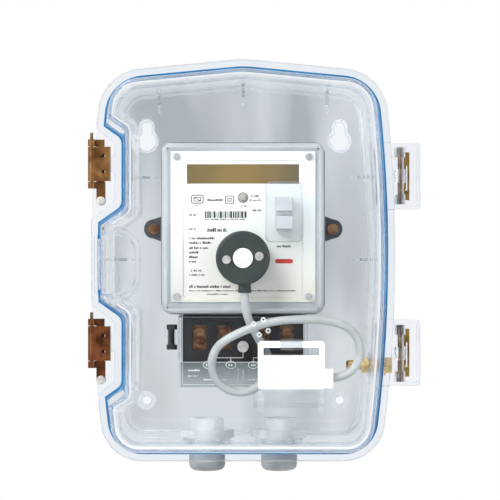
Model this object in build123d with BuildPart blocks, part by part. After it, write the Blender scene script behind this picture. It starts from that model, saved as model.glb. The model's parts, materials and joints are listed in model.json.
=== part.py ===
from build123d import *
import math
import os

os.makedirs("parts", exist_ok=True)

# All lengths in millimetres. The wall is the plane y = 0 and the front faces -Y.
# A depth is a distance from the wall towards the front.

# Enclosure outline
BOX_HEIGHT = 240.6
BOX_WIDTH = 182.0
SHOULDER_NARROWING = 14.0
BOTTOM_NARROWING = 18.0
GABLE_DROP = 8.0
BOW_HEIGHT = 4.0
APEX_RADIUS = 60.0
SHOULDER_RADIUS = 28.0
BOTTOM_RADIUS = 25.0

# Enclosure section
TRAY_RIM_DEPTH = 52.0
FLANGE_THICKNESS = 4.0
FLANGE_WIDTH = 5.5
WALL = 3.0
TRAY_DRAFT = 4.0
TRAY_BACK_RADIUS = 8.0
COVER_RISE = 53.0
COVER_DRAFT = 4.0
COVER_FRONT_RADIUS = 8.0
RIM_GAP = 1.0
GASKET_WIDTH = 1.8
GASKET_INSET = 4.0
GROOVE_DEPTH = 1.6
GASKET_SIDE_CLEARANCE = 0.1

# Latch notches in the left rim of the cover
NOTCH_DEPTH = 14.2
NOTCH_FLOOR_HALF = 18.0
NOTCH_FLANK_SLOPE = 0.7
NOTCH_MOUTH_RADIUS = 10.0
NOTCH_FLOOR_RADIUS = 6.0
UPPER_LATCH_DROP = 67.8
LOWER_LATCH_RISE = 65.4

# Grip on the left side of the cover, between the notches
SCOOP_TOP = 15.0
SCOOP_BOTTOM = -20.0
SCOOP_DEPTH = 27.0
SCOOP_RADIUS = 11.0
SCOOP_FLOOR_RISE = 6.0
SCOOP_TAPER = 3.0
GRIP_WIDTH = 11.0
GRIP_INSET = 3.0
GRIP_BAR = 2.4
GRIP_RISE = 13.0
GRIP_SINK = 1.0

# Hinges on the right
HINGE_OFFSET = 3.2
UPPER_HINGE_DROP = 69.9
LOWER_HINGE_RISE = 64.5
KNUCKLE_RADIUS = 3.2
HINGE_PIN_RADIUS = 1.5
HINGE_RUNNING_CLEARANCE = 0.05
COVER_KNUCKLE_LENGTH = 8.0
TRAY_KNUCKLE_LENGTH = 6.0
HINGE_PIN_LENGTH = 34.0
EAR_HEIGHT = 40.0
EAR_REACH = 12.6
EAR_WALL = 2.0
EAR_RADIUS = 2.0
EAR_ROOT = 5.0
EAR_THICKNESS = 9.0
EAR_SETBACK = 3.0
EAR_LAND = 1.0
KNUCKLE_WEB = 1.4
KNUCKLE_ROOT = 3.0
PIN_CHAMFER = 0.3

# Wall fixings
FIXING_X = 60.0
KEYHOLE_DROP = 46.8
KEYHOLE_RADIUS = 5.5
KEYHOLE_SLOT_WIDTH = 6.0
KEYHOLE_SLOT_RISE = 9.0
LOWER_HOLE_RISE = 32.8
LOWER_HOLE_RADIUS = 2.5
FIXING_BOSS_RADIUS = 6.0
FIXING_BOSS_HEIGHT = 3.0
KEYHOLE_RIM = 2.0
BOSS_SINK = 1.0

# Cable glands in the bottom wall
GLAND_X = 22.0
GLAND_DEPTH = 27.0
GLAND_BOSS_RADIUS = 14.5
GLAND_SEAT_RISE = 2.8
GLAND_WALL_THICKNESS = 9.0
GLAND_THREAD_RADIUS = 10.0
GLAND_HOLE_CLEARANCE = 0.3

# Ribs and bosses inside the tray
GUSSET_THICKNESS = 1.6
GUSSET_X = 52.0
GUSSET_DROP = 69.3
GUSSET_LENGTH = 13.0
GUSSET_RISE = 14.0
GUSSET_BEND = 6.0
GUSSET_SINK = 0.8
GUSSET_CROWN_DROP = 0.6
METER_BACK_DEPTH = 8.0
LUG_REACH = 5.4
LUG_BOSS_RADIUS = 4.5
LUG_PILOT_RADIUS = 1.2
BLOCK_BOSS_X = 26.0
BLOCK_BOSS_RADIUS = 5.0

# Brass bolt through the right wall
SIDE_BOLT_RISE = 56.3
SIDE_BOLT_DEPTH = 32.0
SIDE_BOLT_RADIUS = 3.0
SIDE_BOLT_CLEARANCE = 0.2
SIDE_BOLT_PAD_RADIUS = 7.5
SIDE_BOLT_INNER_PROUD = 1.4
SIDE_BOLT_OUTER_PROUD = 3.6

# Rivets of the latch brackets
LATCH_RIVET_OFFSET = 5.4
LATCH_RIVET_DROP = 17.0
LATCH_RIVET_RADIUS = 1.5
LATCH_RIVET_HEAD_RADIUS = 2.7
LATCH_RIVET_HEAD_HEIGHT = 1.4
LATCH_RIVET_ROUND = 1.1

# Latches on the left
LATCH_SHEET = 1.0
LATCH_PIN_INSET = 0.4
LATCH_PIN_PROUD = 2.8
LATCH_PIN_RADIUS = 1.0
LATCH_KNUCKLE_RADIUS = 2.2
LATCH_TIP_GAP = 2.4
LATCH_PLATE_RAISE = 5.0
LATCH_PLATE_HEIGHT = 20.6
LATCH_SIDE_CLEARANCE = 0.4
LATCH_CATCH_CLEARANCE = 0.5
LATCH_CATCH_HEIGHT = 10.0
LATCH_CATCH_ROOT = 1.0
LATCH_BASE_WIDTH = 5.0
LATCH_ROLL_CLEARANCE = 0.1
BRACKET_KNUCKLE_LENGTH = 4.0
SEAL_HOLE_RADIUS = 1.1
SEAL_HOLE_OFFSET = 7.1
SEAL_HOLE_PITCH = 9.5

# Gold strips in the hinge ears
LEAF_OFFSET = 4.3
LEAF_WIDTH = 3.2
LEAF_HEIGHT = 28.8
LEAF_SHEET = 0.8
LEAF_SETBACK = 0.6
LEAF_SLOT_DROP = 1.0

# Meter case
METER_WIDTH = 100.0
METER_HEIGHT = 105.0
METER_TOP = 71.5
METER_RADIUS = 7.0
METER_SPLIT_DEPTH = 34.0
METER_FRONT_DEPTH = 60.0
METER_WALL = 2.2
METER_COVER_DRAFT = 1.2
METER_COVER_EDGE = 2.5
LUG_RADIUS = 6.0
LUG_THICKNESS = 4.0
LUG_ROOT_HEIGHT = 17.0
LUG_SCREW_RADIUS = 1.2
LUG_SCREW_HEAD_RADIUS = 3.3
LUG_SCREW_HEAD_HEIGHT = 2.0
LUG_SCREW_CLEARANCE = 0.4
LUG_SCREW_BITE = 4.0
SCREW_SLOT_WIDTH = 1.0
SCREW_SLOT_DEPTH = 0.8

# Meter face and what stands on the circuit board
BOARD_DEPTH = 40.0
BOARD_THICKNESS = 1.6
BOARD_MARGIN = 6.0
POST_RADIUS = 4.5
POST_NECK_RADIUS = 2.5
FACE_DEPTH = 50.0
FACE_THICKNESS = 1.2
FACE_FRAME_HEIGHT = 0.8
FACE_SIDE_CLEARANCE = 0.4
FACE_RADIUS = 4.0
FRAME_MARGIN = 6.6
FRAME_END_MARGIN = 7.2
FRAME_RAISE = 1.0
FRAME_RADIUS = 3.0
FRAME_BAND = 7.9
FRAME_TOP_BAND = 6.0
FRAME_BOTTOM_BAND = 3.0
FIELD_RADIUS = 2.0
FRAME_SLOPE = 40.0
FACE_RIVET_INSET = 3.9
FACE_RIVET_END_INSET = 3.4
FACE_RIVET_RADIUS = 1.0
FACE_RIVET_HEAD_RADIUS = 2.2
FACE_RIVET_HEAD_HEIGHT = 1.0
FACE_RIVET_SHANK = 5.0
FACE_RIVET_HOLE = 6.0
SEAT_CLEARANCE = 0.1
DISPLAY_MARGIN = 1.8
DISPLAY_HEIGHT = 11.7
DISPLAY_DROP = 19.9
DISPLAY_BORDER = 2.0
DISPLAY_RECESS = 0.3
LAMP_DROP = 14.2
LAMP_RADIUS = 2.4
LAMP_PROUD = 1.4
LAMP_ROUND = 1.3
BUTTON_INSET = 10.8
BUTTON_DROP = 18.4
BUTTON_PITCH = 10.9
BUTTON_WIDTH = 10.0
BUTTON_TALL = 8.2
BUTTON_PROUD = 2.5
BUTTON_FLANGE = 0.9
BUTTON_CLEARANCE = 0.3
BUTTON_TRAVEL = 1.5
BUTTON_STANDOFF = 0.8
BUTTON_ROUND = 0.8
BUTTON_FLANGE_THICKNESS = 1.6
GUARD_LEFT_MARGIN = 11.3
GUARD_RIGHT_MARGIN = 10.6
GUARD_TOP_MARGIN = 13.4
GUARD_BOTTOM_MARGIN = 11.6
GUARD_HEIGHT = 6.0
GUARD_WALL = 1.4
GUARD_RADIUS = 3.0
GUARD_EYE_SPAN = 7.5
GUARD_EYE_DROP = 3.0
GUARD_EDGE = 1.0
GUARD_EYE_HEIGHT = 1.2
GUARD_EYE_SINK = 0.2

# Inside the meter
CELL_RADIUS = 10.0
CELL_THICKNESS = 5.0
CELL_X = -18.0
CELL_DROP = 67.5
SHUNT_WIDTH = 44.0
SHUNT_HEIGHT = 14.0
SHUNT_SLOT_WIDTH = 14.0
SHUNT_SLOT_HEIGHT = 8.0
SHUNT_THICKNESS = 2.5
SHUNT_RISE = 12.0

# Terminals
BLOCK_WIDTH = 72.8
BLOCK_HEIGHT = 28.0
BLOCK_FRONT_DEPTH = 44.0
TERMINAL_XS = (-26.4, -11.7, 11.7, 26.4)
TERMINAL_DROP = 13.5
WELL_WIDTH = 8.6
WELL_HEIGHT = 15.0
WELL_FLOOR_DEPTH = 26.0
BAR_FRONT_DEPTH = 38.0
BAR_CLEARANCE = 0.1
TERMINAL_BORE_RADIUS = 3.2
TERMINAL_BORE_DEPTH = 31.0
TERMINAL_SCREW_PITCH = 6.2
TERMINAL_SCREW_RADIUS = 1.6
TERMINAL_SCREW_HEAD_RADIUS = 2.9
TERMINAL_SCREW_HEAD_HEIGHT = 2.4
TERMINAL_SCREW_BITE = 3.0
TERMINAL_BORE_STOP = 2.0
TERMINAL_COVER_WIDTH = 78.0
TERMINAL_COVER_GAP = 0.5
TERMINAL_COVER_HEIGHT = 42.4
TERMINAL_COVER_FRONT = 50.0
TERMINAL_COVER_BACK = 20.0
TERMINAL_COVER_WALL = 1.8
COVER_POST_RADIUS = 4.0
COVER_SCREW_DROP = 18.0
COVER_SCREW_RADIUS = 1.5
COVER_SCREW_HEAD_RADIUS = 3.4
COVER_SCREW_HEAD_HEIGHT = 2.2
COVER_SCREW_SHANK = 9.0
COVER_SCREW_HOLE = 10.0
COVER_SCREW_CLEARANCE = 0.2
COVER_BLOCK_GAP = 0.4
EYELETS = ((6.4, 4.0), (11.7, 2.8), (15.1, 8.4), (9.8, 11.0))
EYELET_RADIUS = 1.7
EYELET_BORE = 0.9
EYELET_HEIGHT = 1.0
SPINDLE_OFFSET = 3.9
SPINDLE_DEPTH = 44.0
SPINDLE_RADIUS = 1.2
SPINDLE_COLLAR_RADIUS = 3.2
SPINDLE_COLLAR_LENGTH = 3.0
BARREL_DROP = 8.0
BARREL_LENGTH = 9.0
BARREL_RADIUS = 2.6
BARREL_WEB = 3.0
BARREL_ROOT = 1.0

# Optical reading head on the meter
HEAD_DROP = 70.2
HEAD_RADIUS = 16.0
HEAD_THICKNESS = 14.0
HEAD_SCREW_SPAN = 9.6
HEAD_SCREW_LEAN = 1.0
HEAD_SCREW_RADIUS = 1.2
HEAD_SCREW_HEAD_RADIUS = 2.5
HEAD_SCREW_HEAD_HEIGHT = 1.5
HEAD_SCREW_SHANK = 5.0
HEAD_SCREW_HOLE = 6.0
CROSS_LENGTH = 3.0
CROSS_WIDTH = 0.7
CROSS_DEPTH = 0.8
HEAD_ROUND = 1.5
HEAD_DISC_RADIUS = 5.8
HEAD_DISC_THICKNESS = 0.6
CABLE_RADIUS = 2.5
CABLE_BOSS_RADIUS = 3.8
CABLE_BOSS_REACH = 20.6
CABLE_EXIT_X = 1.0
CABLE_EXIT_RISE = 7.0

# Socket box, its clip and its bracket
SOCKET_LEFT = 8.9
SOCKET_RIGHT = 48.2
SOCKET_TOP = -48.0
SOCKET_BOTTOM = -76.0
SOCKET_BACK_DEPTH = 61.0
SOCKET_FRONT_DEPTH = 74.0
SOCKET_SLOT_TOP = -51.6
SOCKET_SLOT_BOTTOM = -56.2
SOCKET_SLOT_MARGIN = 3.2
SOCKET_TAB_RIGHT = 53.2
SOCKET_TAB_TOP = -64.2
SOCKET_TAB_BOTTOM = -75.5
SOCKET_RADIUS = 2.0
SOCKET_TAB_SETBACK = 2.0
SOCKET_TAB_FRONT_SETBACK = 1.0
SOCKET_TAB_ROOT = 3.0
CABLE_ENTRY_DEPTH = 67.5
CABLE_ENTRY_HEIGHT = -70.3
CABLE_END_X = 45.7
CABLE_ENTRY_CLEARANCE = 0.1
CLIP_LEFT = 22.0
CLIP_RIGHT = 35.0
CLIP_WALL = 1.4
BRACKET_LEG_XS = (10.5, 46.5)
BRACKET_LEG_WIDTH = 4.0
BRACKET_LEG_DROP = 7.6
BRACKET_LEG_HEIGHT = 6.0
BRACKET_PLATE = 2.5
BRACKET_PLATE_MARGIN = 2.0

# Gland bodies and nuts
GLAND_BODY_RADIUS = 11.0
GLAND_NOSE_LENGTH = 11.0
GLAND_NOSE_RADIUS = 4.0
GLAND_BORE_RADIUS = 6.0
GLAND_THREAD_LENGTH = 21.0
GLAND_NUT_RADIUS = 16.5
GLAND_NUT_HEIGHT = 5.0

# Brass bolt
SIDE_BOLT_TAIL = 14.3
SIDE_BOLT_HEAD_RADIUS = 5.4
SIDE_BOLT_HEAD_HEIGHT = 4.2
SIDE_BOLT_WASHER_RADIUS = 6.2
SIDE_BOLT_WASHER_THICKNESS = 1.2
SIDE_BOLT_NUT_HEIGHT = 5.0
SIDE_BOLT_CHAMFER = 1.0

# Places that follow from the sizes above
HALF_HEIGHT = BOX_HEIGHT / 2
HALF_WIDTH = BOX_WIDTH / 2
SHOULDER_WIDTH = BOX_WIDTH - SHOULDER_NARROWING
BOTTOM_WIDTH = BOX_WIDTH - BOTTOM_NARROWING
RIM_SEAT_DEPTH = TRAY_RIM_DEPTH + RIM_GAP
COVER_FLANGE_FRONT = RIM_SEAT_DEPTH + FLANGE_THICKNESS
COVER_FRONT_DEPTH = TRAY_RIM_DEPTH + COVER_RISE
FLANGE_BACK_DEPTH = TRAY_RIM_DEPTH - FLANGE_THICKNESS
NOTCH_FLOOR = NOTCH_DEPTH - HALF_WIDTH
UPPER_LATCH_HEIGHT = HALF_HEIGHT - UPPER_LATCH_DROP
LOWER_LATCH_HEIGHT = LOWER_LATCH_RISE - HALF_HEIGHT
UPPER_HINGE_HEIGHT = HALF_HEIGHT - UPPER_HINGE_DROP
LOWER_HINGE_HEIGHT = LOWER_HINGE_RISE - HALF_HEIGHT
HINGE_X = HALF_WIDTH + HINGE_OFFSET
HINGE_DEPTH = RIM_SEAT_DEPTH
EAR_OUTER_X = HINGE_X + EAR_REACH
EAR_FRONT_DEPTH = TRAY_RIM_DEPTH - EAR_SETBACK
EAR_BACK_DEPTH = EAR_FRONT_DEPTH - EAR_THICKNESS
LEAF_X = HINGE_X + LEAF_OFFSET
LEAF_FRONT_DEPTH = EAR_FRONT_DEPTH - LEAF_SETBACK
LATCH_PIN_X = LATCH_PIN_INSET - HALF_WIDTH
LATCH_PIN_DEPTH = TRAY_RIM_DEPTH + LATCH_PIN_PROUD
LATCH_TIP_X = NOTCH_FLOOR - LATCH_TIP_GAP
LATCH_RIVET_X = LATCH_PIN_X + LATCH_RIVET_OFFSET
SEAL_HOLE_X = LATCH_PIN_X + SEAL_HOLE_OFFSET
KEYHOLE_HEIGHT = HALF_HEIGHT - KEYHOLE_DROP
LOWER_HOLE_HEIGHT = LOWER_HOLE_RISE - HALF_HEIGHT
GUSSET_HEIGHT = HALF_HEIGHT - GUSSET_DROP
GLAND_SEAT_Z = GLAND_SEAT_RISE - HALF_HEIGHT
GLAND_INNER_SEAT_Z = GLAND_SEAT_Z + GLAND_WALL_THICKNESS
GLAND_NOSE_Z = GLAND_SEAT_Z - GLAND_NOSE_LENGTH
GLAND_THREAD_END = GLAND_SEAT_Z + GLAND_THREAD_LENGTH
SIDE_BOLT_HEIGHT = SIDE_BOLT_RISE - HALF_HEIGHT
METER_CENTRE = METER_TOP - METER_HEIGHT / 2
METER_BOTTOM = METER_TOP - METER_HEIGHT
FACE_MARGIN = METER_WALL + METER_COVER_DRAFT + FACE_SIDE_CLEARANCE
LUG_X = METER_WIDTH / 2 + LUG_REACH
LUG_HEIGHT = METER_CENTRE
FRAME_WIDTH = METER_WIDTH - 2 * FRAME_MARGIN
FRAME_HEIGHT = METER_HEIGHT - 2 * FRAME_END_MARGIN
FRAME_CENTRE = METER_CENTRE + FRAME_RAISE
FIELD_WIDTH = FRAME_WIDTH - 2 * FRAME_BAND
FIELD_HEIGHT = FRAME_HEIGHT - FRAME_TOP_BAND - FRAME_BOTTOM_BAND
FIELD_CENTRE = FRAME_CENTRE + (FRAME_BOTTOM_BAND - FRAME_TOP_BAND) / 2
FACE_RIVET_X = FRAME_WIDTH / 2 - FACE_RIVET_INSET
FACE_RIVET_RISE = FRAME_HEIGHT / 2 - FACE_RIVET_END_INSET
DISPLAY_WIDTH = FIELD_WIDTH - 2 * DISPLAY_MARGIN
DISPLAY_CENTRE = METER_TOP - DISPLAY_DROP
LAMP_HEIGHT = DISPLAY_CENTRE - LAMP_DROP
BUTTON_X = FIELD_WIDTH / 2 - BUTTON_INSET
UPPER_BUTTON_HEIGHT = DISPLAY_CENTRE - BUTTON_DROP
LOWER_BUTTON_HEIGHT = UPPER_BUTTON_HEIGHT - BUTTON_PITCH
GUARD_LEFT = BUTTON_X - GUARD_LEFT_MARGIN
GUARD_RIGHT = BUTTON_X + GUARD_RIGHT_MARGIN
GUARD_TOP = UPPER_BUTTON_HEIGHT + GUARD_TOP_MARGIN
GUARD_BOTTOM = LOWER_BUTTON_HEIGHT - GUARD_BOTTOM_MARGIN
HEAD_CENTRE = METER_TOP - HEAD_DROP
HEAD_SCREWS = (
    (-HEAD_SCREW_SPAN, HEAD_CENTRE - HEAD_SCREW_LEAN),
    (HEAD_SCREW_SPAN, HEAD_CENTRE + HEAD_SCREW_LEAN),
)
CABLE_BOSS_END = HEAD_CENTRE - CABLE_BOSS_REACH
CABLE_EXIT_DEPTH = METER_FRONT_DEPTH + CABLE_EXIT_RISE
TERMINAL_CENTRE = METER_BOTTOM - TERMINAL_DROP
BLOCK_CENTRE = METER_BOTTOM - BLOCK_HEIGHT / 2
TERMINAL_COVER_TOP = METER_BOTTOM - TERMINAL_COVER_GAP
TERMINAL_COVER_BOTTOM = TERMINAL_COVER_TOP - TERMINAL_COVER_HEIGHT
COVER_SCREW_HEIGHT = TERMINAL_COVER_TOP - COVER_SCREW_DROP
SPINDLE_X = -TERMINAL_COVER_WIDTH / 2 - SPINDLE_OFFSET
BARREL_TOP = TERMINAL_COVER_TOP - BARREL_DROP
BARREL_BOTTOM = BARREL_TOP - BARREL_LENGTH
BRACKET_LEG_TOP = TERMINAL_COVER_BOTTOM - BRACKET_LEG_DROP
BRACKET_LEG_BOTTOM = BRACKET_LEG_TOP - BRACKET_LEG_HEIGHT
FLANK_ANGLE = math.atan2(1.0, NOTCH_FLANK_SLOPE)


def at_depth(depth):
    """Sketch plane parallel to the wall: x to the right, y up."""
    return Plane.XZ.offset(depth)


def outline(plane, inset, notched):
    """Gabled outline with bowed sides, moved in by inset, with or without the notches."""
    shoulder = HALF_HEIGHT - GABLE_DROP
    with BuildSketch(plane) as face:
        with BuildLine():
            Polyline((SHOULDER_WIDTH / 2, shoulder), (0, HALF_HEIGHT), (-SHOULDER_WIDTH / 2, shoulder))
            ThreePointArc(
                (-SHOULDER_WIDTH / 2, shoulder), (-HALF_WIDTH, BOW_HEIGHT), (-BOTTOM_WIDTH / 2, -HALF_HEIGHT)
            )
            Line((-BOTTOM_WIDTH / 2, -HALF_HEIGHT), (BOTTOM_WIDTH / 2, -HALF_HEIGHT))
            ThreePointArc(
                (BOTTOM_WIDTH / 2, -HALF_HEIGHT), (HALF_WIDTH, BOW_HEIGHT), (SHOULDER_WIDTH / 2, shoulder)
            )
        make_face()
        fillet(face.vertices().sort_by(Axis.Y)[-1], APEX_RADIUS)
        fillet(face.vertices().filter_by_position(Axis.Y, shoulder - 0.1, shoulder + 0.1), SHOULDER_RADIUS)
        fillet(
            face.vertices().filter_by_position(Axis.Y, -HALF_HEIGHT - 0.1, -HALF_HEIGHT + 0.1),
            BOTTOM_RADIUS,
        )
        if inset > 0:
            offset(amount=-inset)
        if notched:
            floor = NOTCH_FLOOR + inset
            half = NOTCH_FLOOR_HALF + inset * math.tan(FLANK_ANGLE / 2)
            reach = 2 * NOTCH_DEPTH
            rise = half + reach * NOTCH_FLANK_SLOPE
            for height in (UPPER_LATCH_HEIGHT, LOWER_LATCH_HEIGHT):
                Polygon(
                    (floor, height - half),
                    (floor, height + half),
                    (floor - reach, height + rise),
                    (floor - reach, height - rise),
                    align=None,
                    mode=Mode.SUBTRACT,
                )
            floors = face.vertices().filter_by_position(Axis.X, floor - 0.01, floor + 0.01)
            flanks = [
                edge
                for edge in face.edges().filter_by(GeomType.LINE)
                if edge.center().X < floor - NOTCH_FLOOR_RADIUS / 10
            ]
            mouths = [edge.vertices().sort_by(Axis.X)[0] for edge in flanks]
            fillet(floors, NOTCH_FLOOR_RADIUS)
            fillet(mouths, NOTCH_MOUTH_RADIUS)
    return face.sketch


def side_x(height):
    """Half width of the rim outline at a height, on the bowed part of the side."""
    fall = SHOULDER_NARROWING / 2 / (HALF_HEIGHT - GABLE_DROP - BOW_HEIGHT) ** 2
    return HALF_WIDTH - fall * (height - BOW_HEIGHT) ** 2


def corner_rib(plane, wall, sign):
    """Gusset across the tray's back corner, for a wall whose outer face is at wall at the back."""
    tip = wall - WALL - GUSSET_LENGTH
    with BuildSketch(plane) as rib:
        Polygon(
            *[
                (sign * across, -depth)
                for across, depth in (
                    (tip, WALL - GUSSET_SINK),
                    (wall - TRAY_BACK_RADIUS, WALL - GUSSET_SINK),
                    (wall - 0.55 * WALL, WALL + GUSSET_BEND),
                    (wall - 0.3 * WALL, WALL + GUSSET_RISE),
                )
            ],
            align=None,
        )
    return rib.sketch


def write(builder, name):
    builder.part.label = name
    export_step(builder.part, f"parts/{name}.step")


# Clear tray against the wall
TRAY_OUTER_BACK = FLANGE_WIDTH + TRAY_DRAFT
HINGE_HEIGHTS = (UPPER_HINGE_HEIGHT, LOWER_HINGE_HEIGHT)
LATCH_HEIGHTS = (UPPER_LATCH_HEIGHT, LOWER_LATCH_HEIGHT)
with BuildPart() as tray_hollow:
    loft(
        [
            outline(at_depth(FLANGE_BACK_DEPTH), FLANGE_WIDTH + WALL, True),
            outline(at_depth(WALL), TRAY_OUTER_BACK + WALL, True),
        ],
        ruled=True,
    )
    fillet(tray_hollow.faces().sort_by(Axis.Y)[-1].edges(), TRAY_BACK_RADIUS - WALL)
    extrude(outline(at_depth(FLANGE_BACK_DEPTH), FLANGE_WIDTH + WALL, True), amount=FLANGE_THICKNESS)

GROOVE_OUTER = GASKET_INSET - GASKET_SIDE_CLEARANCE
GROOVE_INNER = GASKET_INSET + GASKET_WIDTH + GASKET_SIDE_CLEARANCE
TRAY_KNUCKLE_OFFSET = (HINGE_PIN_LENGTH - TRAY_KNUCKLE_LENGTH) / 2
EAR_INNER_X = side_x(0) - FLANGE_WIDTH - EAR_ROOT
SIDE_BOLT_WALL_INSET = FLANGE_WIDTH + TRAY_DRAFT * (1 - SIDE_BOLT_DEPTH / FLANGE_BACK_DEPTH)
SIDE_BOLT_WALL_X = side_x(SIDE_BOLT_HEIGHT) - SIDE_BOLT_WALL_INSET
SIDE_BOLT_INNER_SEAT = SIDE_BOLT_WALL_X - WALL - SIDE_BOLT_INNER_PROUD
SIDE_BOLT_OUTER_SEAT = SIDE_BOLT_WALL_X + SIDE_BOLT_OUTER_PROUD
SIDE_BOLT_END = SIDE_BOLT_INNER_SEAT - SIDE_BOLT_TAIL
with BuildPart() as base_tray:
    loft(
        [
            outline(at_depth(FLANGE_BACK_DEPTH), FLANGE_WIDTH, True),
            outline(at_depth(0), TRAY_OUTER_BACK, True),
        ],
        ruled=True,
    )
    fillet(base_tray.faces().sort_by(Axis.Y)[-1].edges(), TRAY_BACK_RADIUS)
    extrude(outline(at_depth(FLANGE_BACK_DEPTH), 0, False), amount=FLANGE_THICKNESS)
    # Hinge ears, open to the front
    for height in HINGE_HEIGHTS:
        with BuildSketch(at_depth(EAR_BACK_DEPTH)):
            with Locations(((EAR_INNER_X + EAR_OUTER_X) / 2, height)):
                RectangleRounded(EAR_OUTER_X - EAR_INNER_X, EAR_HEIGHT, EAR_RADIUS)
        extrude(amount=EAR_FRONT_DEPTH - EAR_BACK_DEPTH)
        with BuildSketch(at_depth(EAR_FRONT_DEPTH)):
            with Locations(((side_x(0) + EAR_LAND + EAR_OUTER_X - EAR_WALL) / 2, height)):
                Rectangle(EAR_OUTER_X - EAR_WALL - side_x(0) - EAR_LAND, EAR_HEIGHT - 2 * EAR_WALL)
        extrude(amount=-(EAR_FRONT_DEPTH - EAR_BACK_DEPTH - EAR_WALL), mode=Mode.SUBTRACT)
        for side in (-1, 1):
            middle = height + side * TRAY_KNUCKLE_OFFSET
            with BuildSketch(Plane.XY.offset(middle - TRAY_KNUCKLE_LENGTH / 2)):
                with Locations((HINGE_X, -HINGE_DEPTH)):
                    Circle(KNUCKLE_RADIUS)
                Polygon(
                    (side_x(0), -HINGE_DEPTH),
                    (side_x(0), -EAR_BACK_DEPTH - EAR_LAND),
                    (HINGE_X + KNUCKLE_WEB, -EAR_BACK_DEPTH - EAR_LAND),
                    (HINGE_X + KNUCKLE_WEB, -HINGE_DEPTH),
                    align=None,
                )
            extrude(amount=TRAY_KNUCKLE_LENGTH)
    # Gland bosses and the pads of the side bolt
    for side in (-1, 1):
        with BuildSketch(Plane.XY.offset(GLAND_SEAT_Z)):
            with Locations((side * GLAND_X, -GLAND_DEPTH)):
                Circle(GLAND_BOSS_RADIUS)
        extrude(amount=GLAND_WALL_THICKNESS - WALL)
    with BuildSketch(Plane.YZ.offset(SIDE_BOLT_INNER_SEAT + WALL)):
        with Locations((-SIDE_BOLT_DEPTH, SIDE_BOLT_HEIGHT)):
            Circle(SIDE_BOLT_PAD_RADIUS)
    extrude(amount=SIDE_BOLT_OUTER_SEAT - SIDE_BOLT_INNER_SEAT - WALL)
    add(tray_hollow.part, mode=Mode.SUBTRACT)
    # Inner seats and bosses
    for side in (-1, 1):
        with BuildSketch(Plane.XY.offset(GLAND_INNER_SEAT_Z)):
            with Locations((side * GLAND_X, -GLAND_DEPTH)):
                Circle(GLAND_BOSS_RADIUS)
        extrude(amount=-GLAND_WALL_THICKNESS / 2)
        with BuildSketch(Plane.XY.offset(GLAND_SEAT_Z)):
            with Locations((side * GLAND_X, -GLAND_DEPTH)):
                Circle(GLAND_THREAD_RADIUS + GLAND_HOLE_CLEARANCE)
        extrude(amount=GLAND_INNER_SEAT_Z - GLAND_SEAT_Z, mode=Mode.SUBTRACT)
    with BuildSketch(Plane.YZ.offset(SIDE_BOLT_INNER_SEAT)):
        with Locations((-SIDE_BOLT_DEPTH, SIDE_BOLT_HEIGHT)):
            Circle(SIDE_BOLT_PAD_RADIUS)
    extrude(amount=WALL + BOSS_SINK)
    with BuildSketch(Plane.YZ.offset(SIDE_BOLT_INNER_SEAT)):
        with Locations((-SIDE_BOLT_DEPTH, SIDE_BOLT_HEIGHT)):
            Circle(SIDE_BOLT_RADIUS + SIDE_BOLT_CLEARANCE)
    extrude(amount=SIDE_BOLT_OUTER_SEAT - SIDE_BOLT_INNER_SEAT, mode=Mode.SUBTRACT)
    with BuildSketch(at_depth(WALL - BOSS_SINK)):
        with Locations((-LUG_X, LUG_HEIGHT), (LUG_X, LUG_HEIGHT)):
            Circle(LUG_BOSS_RADIUS)
        with Locations((-BLOCK_BOSS_X, BLOCK_CENTRE), (BLOCK_BOSS_X, BLOCK_CENTRE)):
            Circle(BLOCK_BOSS_RADIUS)
    extrude(amount=METER_BACK_DEPTH - WALL + BOSS_SINK)
    with BuildSketch(at_depth(METER_BACK_DEPTH)):
        with Locations((-LUG_X, LUG_HEIGHT), (LUG_X, LUG_HEIGHT)):
            Circle(LUG_PILOT_RADIUS)
    extrude(amount=-(METER_BACK_DEPTH - WALL), mode=Mode.SUBTRACT)
    # Wall fixings
    with BuildSketch(at_depth(WALL - BOSS_SINK)):
        with Locations((-FIXING_X, LOWER_HOLE_HEIGHT), (FIXING_X, LOWER_HOLE_HEIGHT)):
            Circle(FIXING_BOSS_RADIUS)
        with Locations((-FIXING_X, KEYHOLE_HEIGHT), (FIXING_X, KEYHOLE_HEIGHT)):
            Circle(KEYHOLE_RADIUS + KEYHOLE_RIM)
        with Locations(
            (-FIXING_X, KEYHOLE_HEIGHT + KEYHOLE_SLOT_RISE / 2),
            (FIXING_X, KEYHOLE_HEIGHT + KEYHOLE_SLOT_RISE / 2),
        ):
            SlotCenterToCenter(KEYHOLE_SLOT_RISE, KEYHOLE_SLOT_WIDTH + 2 * KEYHOLE_RIM, rotation=90)
    extrude(amount=FIXING_BOSS_HEIGHT)
    with BuildSketch(at_depth(0)):
        with Locations((-FIXING_X, LOWER_HOLE_HEIGHT), (FIXING_X, LOWER_HOLE_HEIGHT)):
            Circle(LOWER_HOLE_RADIUS)
        with Locations((-FIXING_X, KEYHOLE_HEIGHT), (FIXING_X, KEYHOLE_HEIGHT)):
            Circle(KEYHOLE_RADIUS)
        with Locations(
            (-FIXING_X, KEYHOLE_HEIGHT + KEYHOLE_SLOT_RISE / 2),
            (FIXING_X, KEYHOLE_HEIGHT + KEYHOLE_SLOT_RISE / 2),
        ):
            SlotCenterToCenter(KEYHOLE_SLOT_RISE, KEYHOLE_SLOT_WIDTH, rotation=90)
    extrude(amount=WALL + FIXING_BOSS_HEIGHT, mode=Mode.SUBTRACT)
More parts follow.
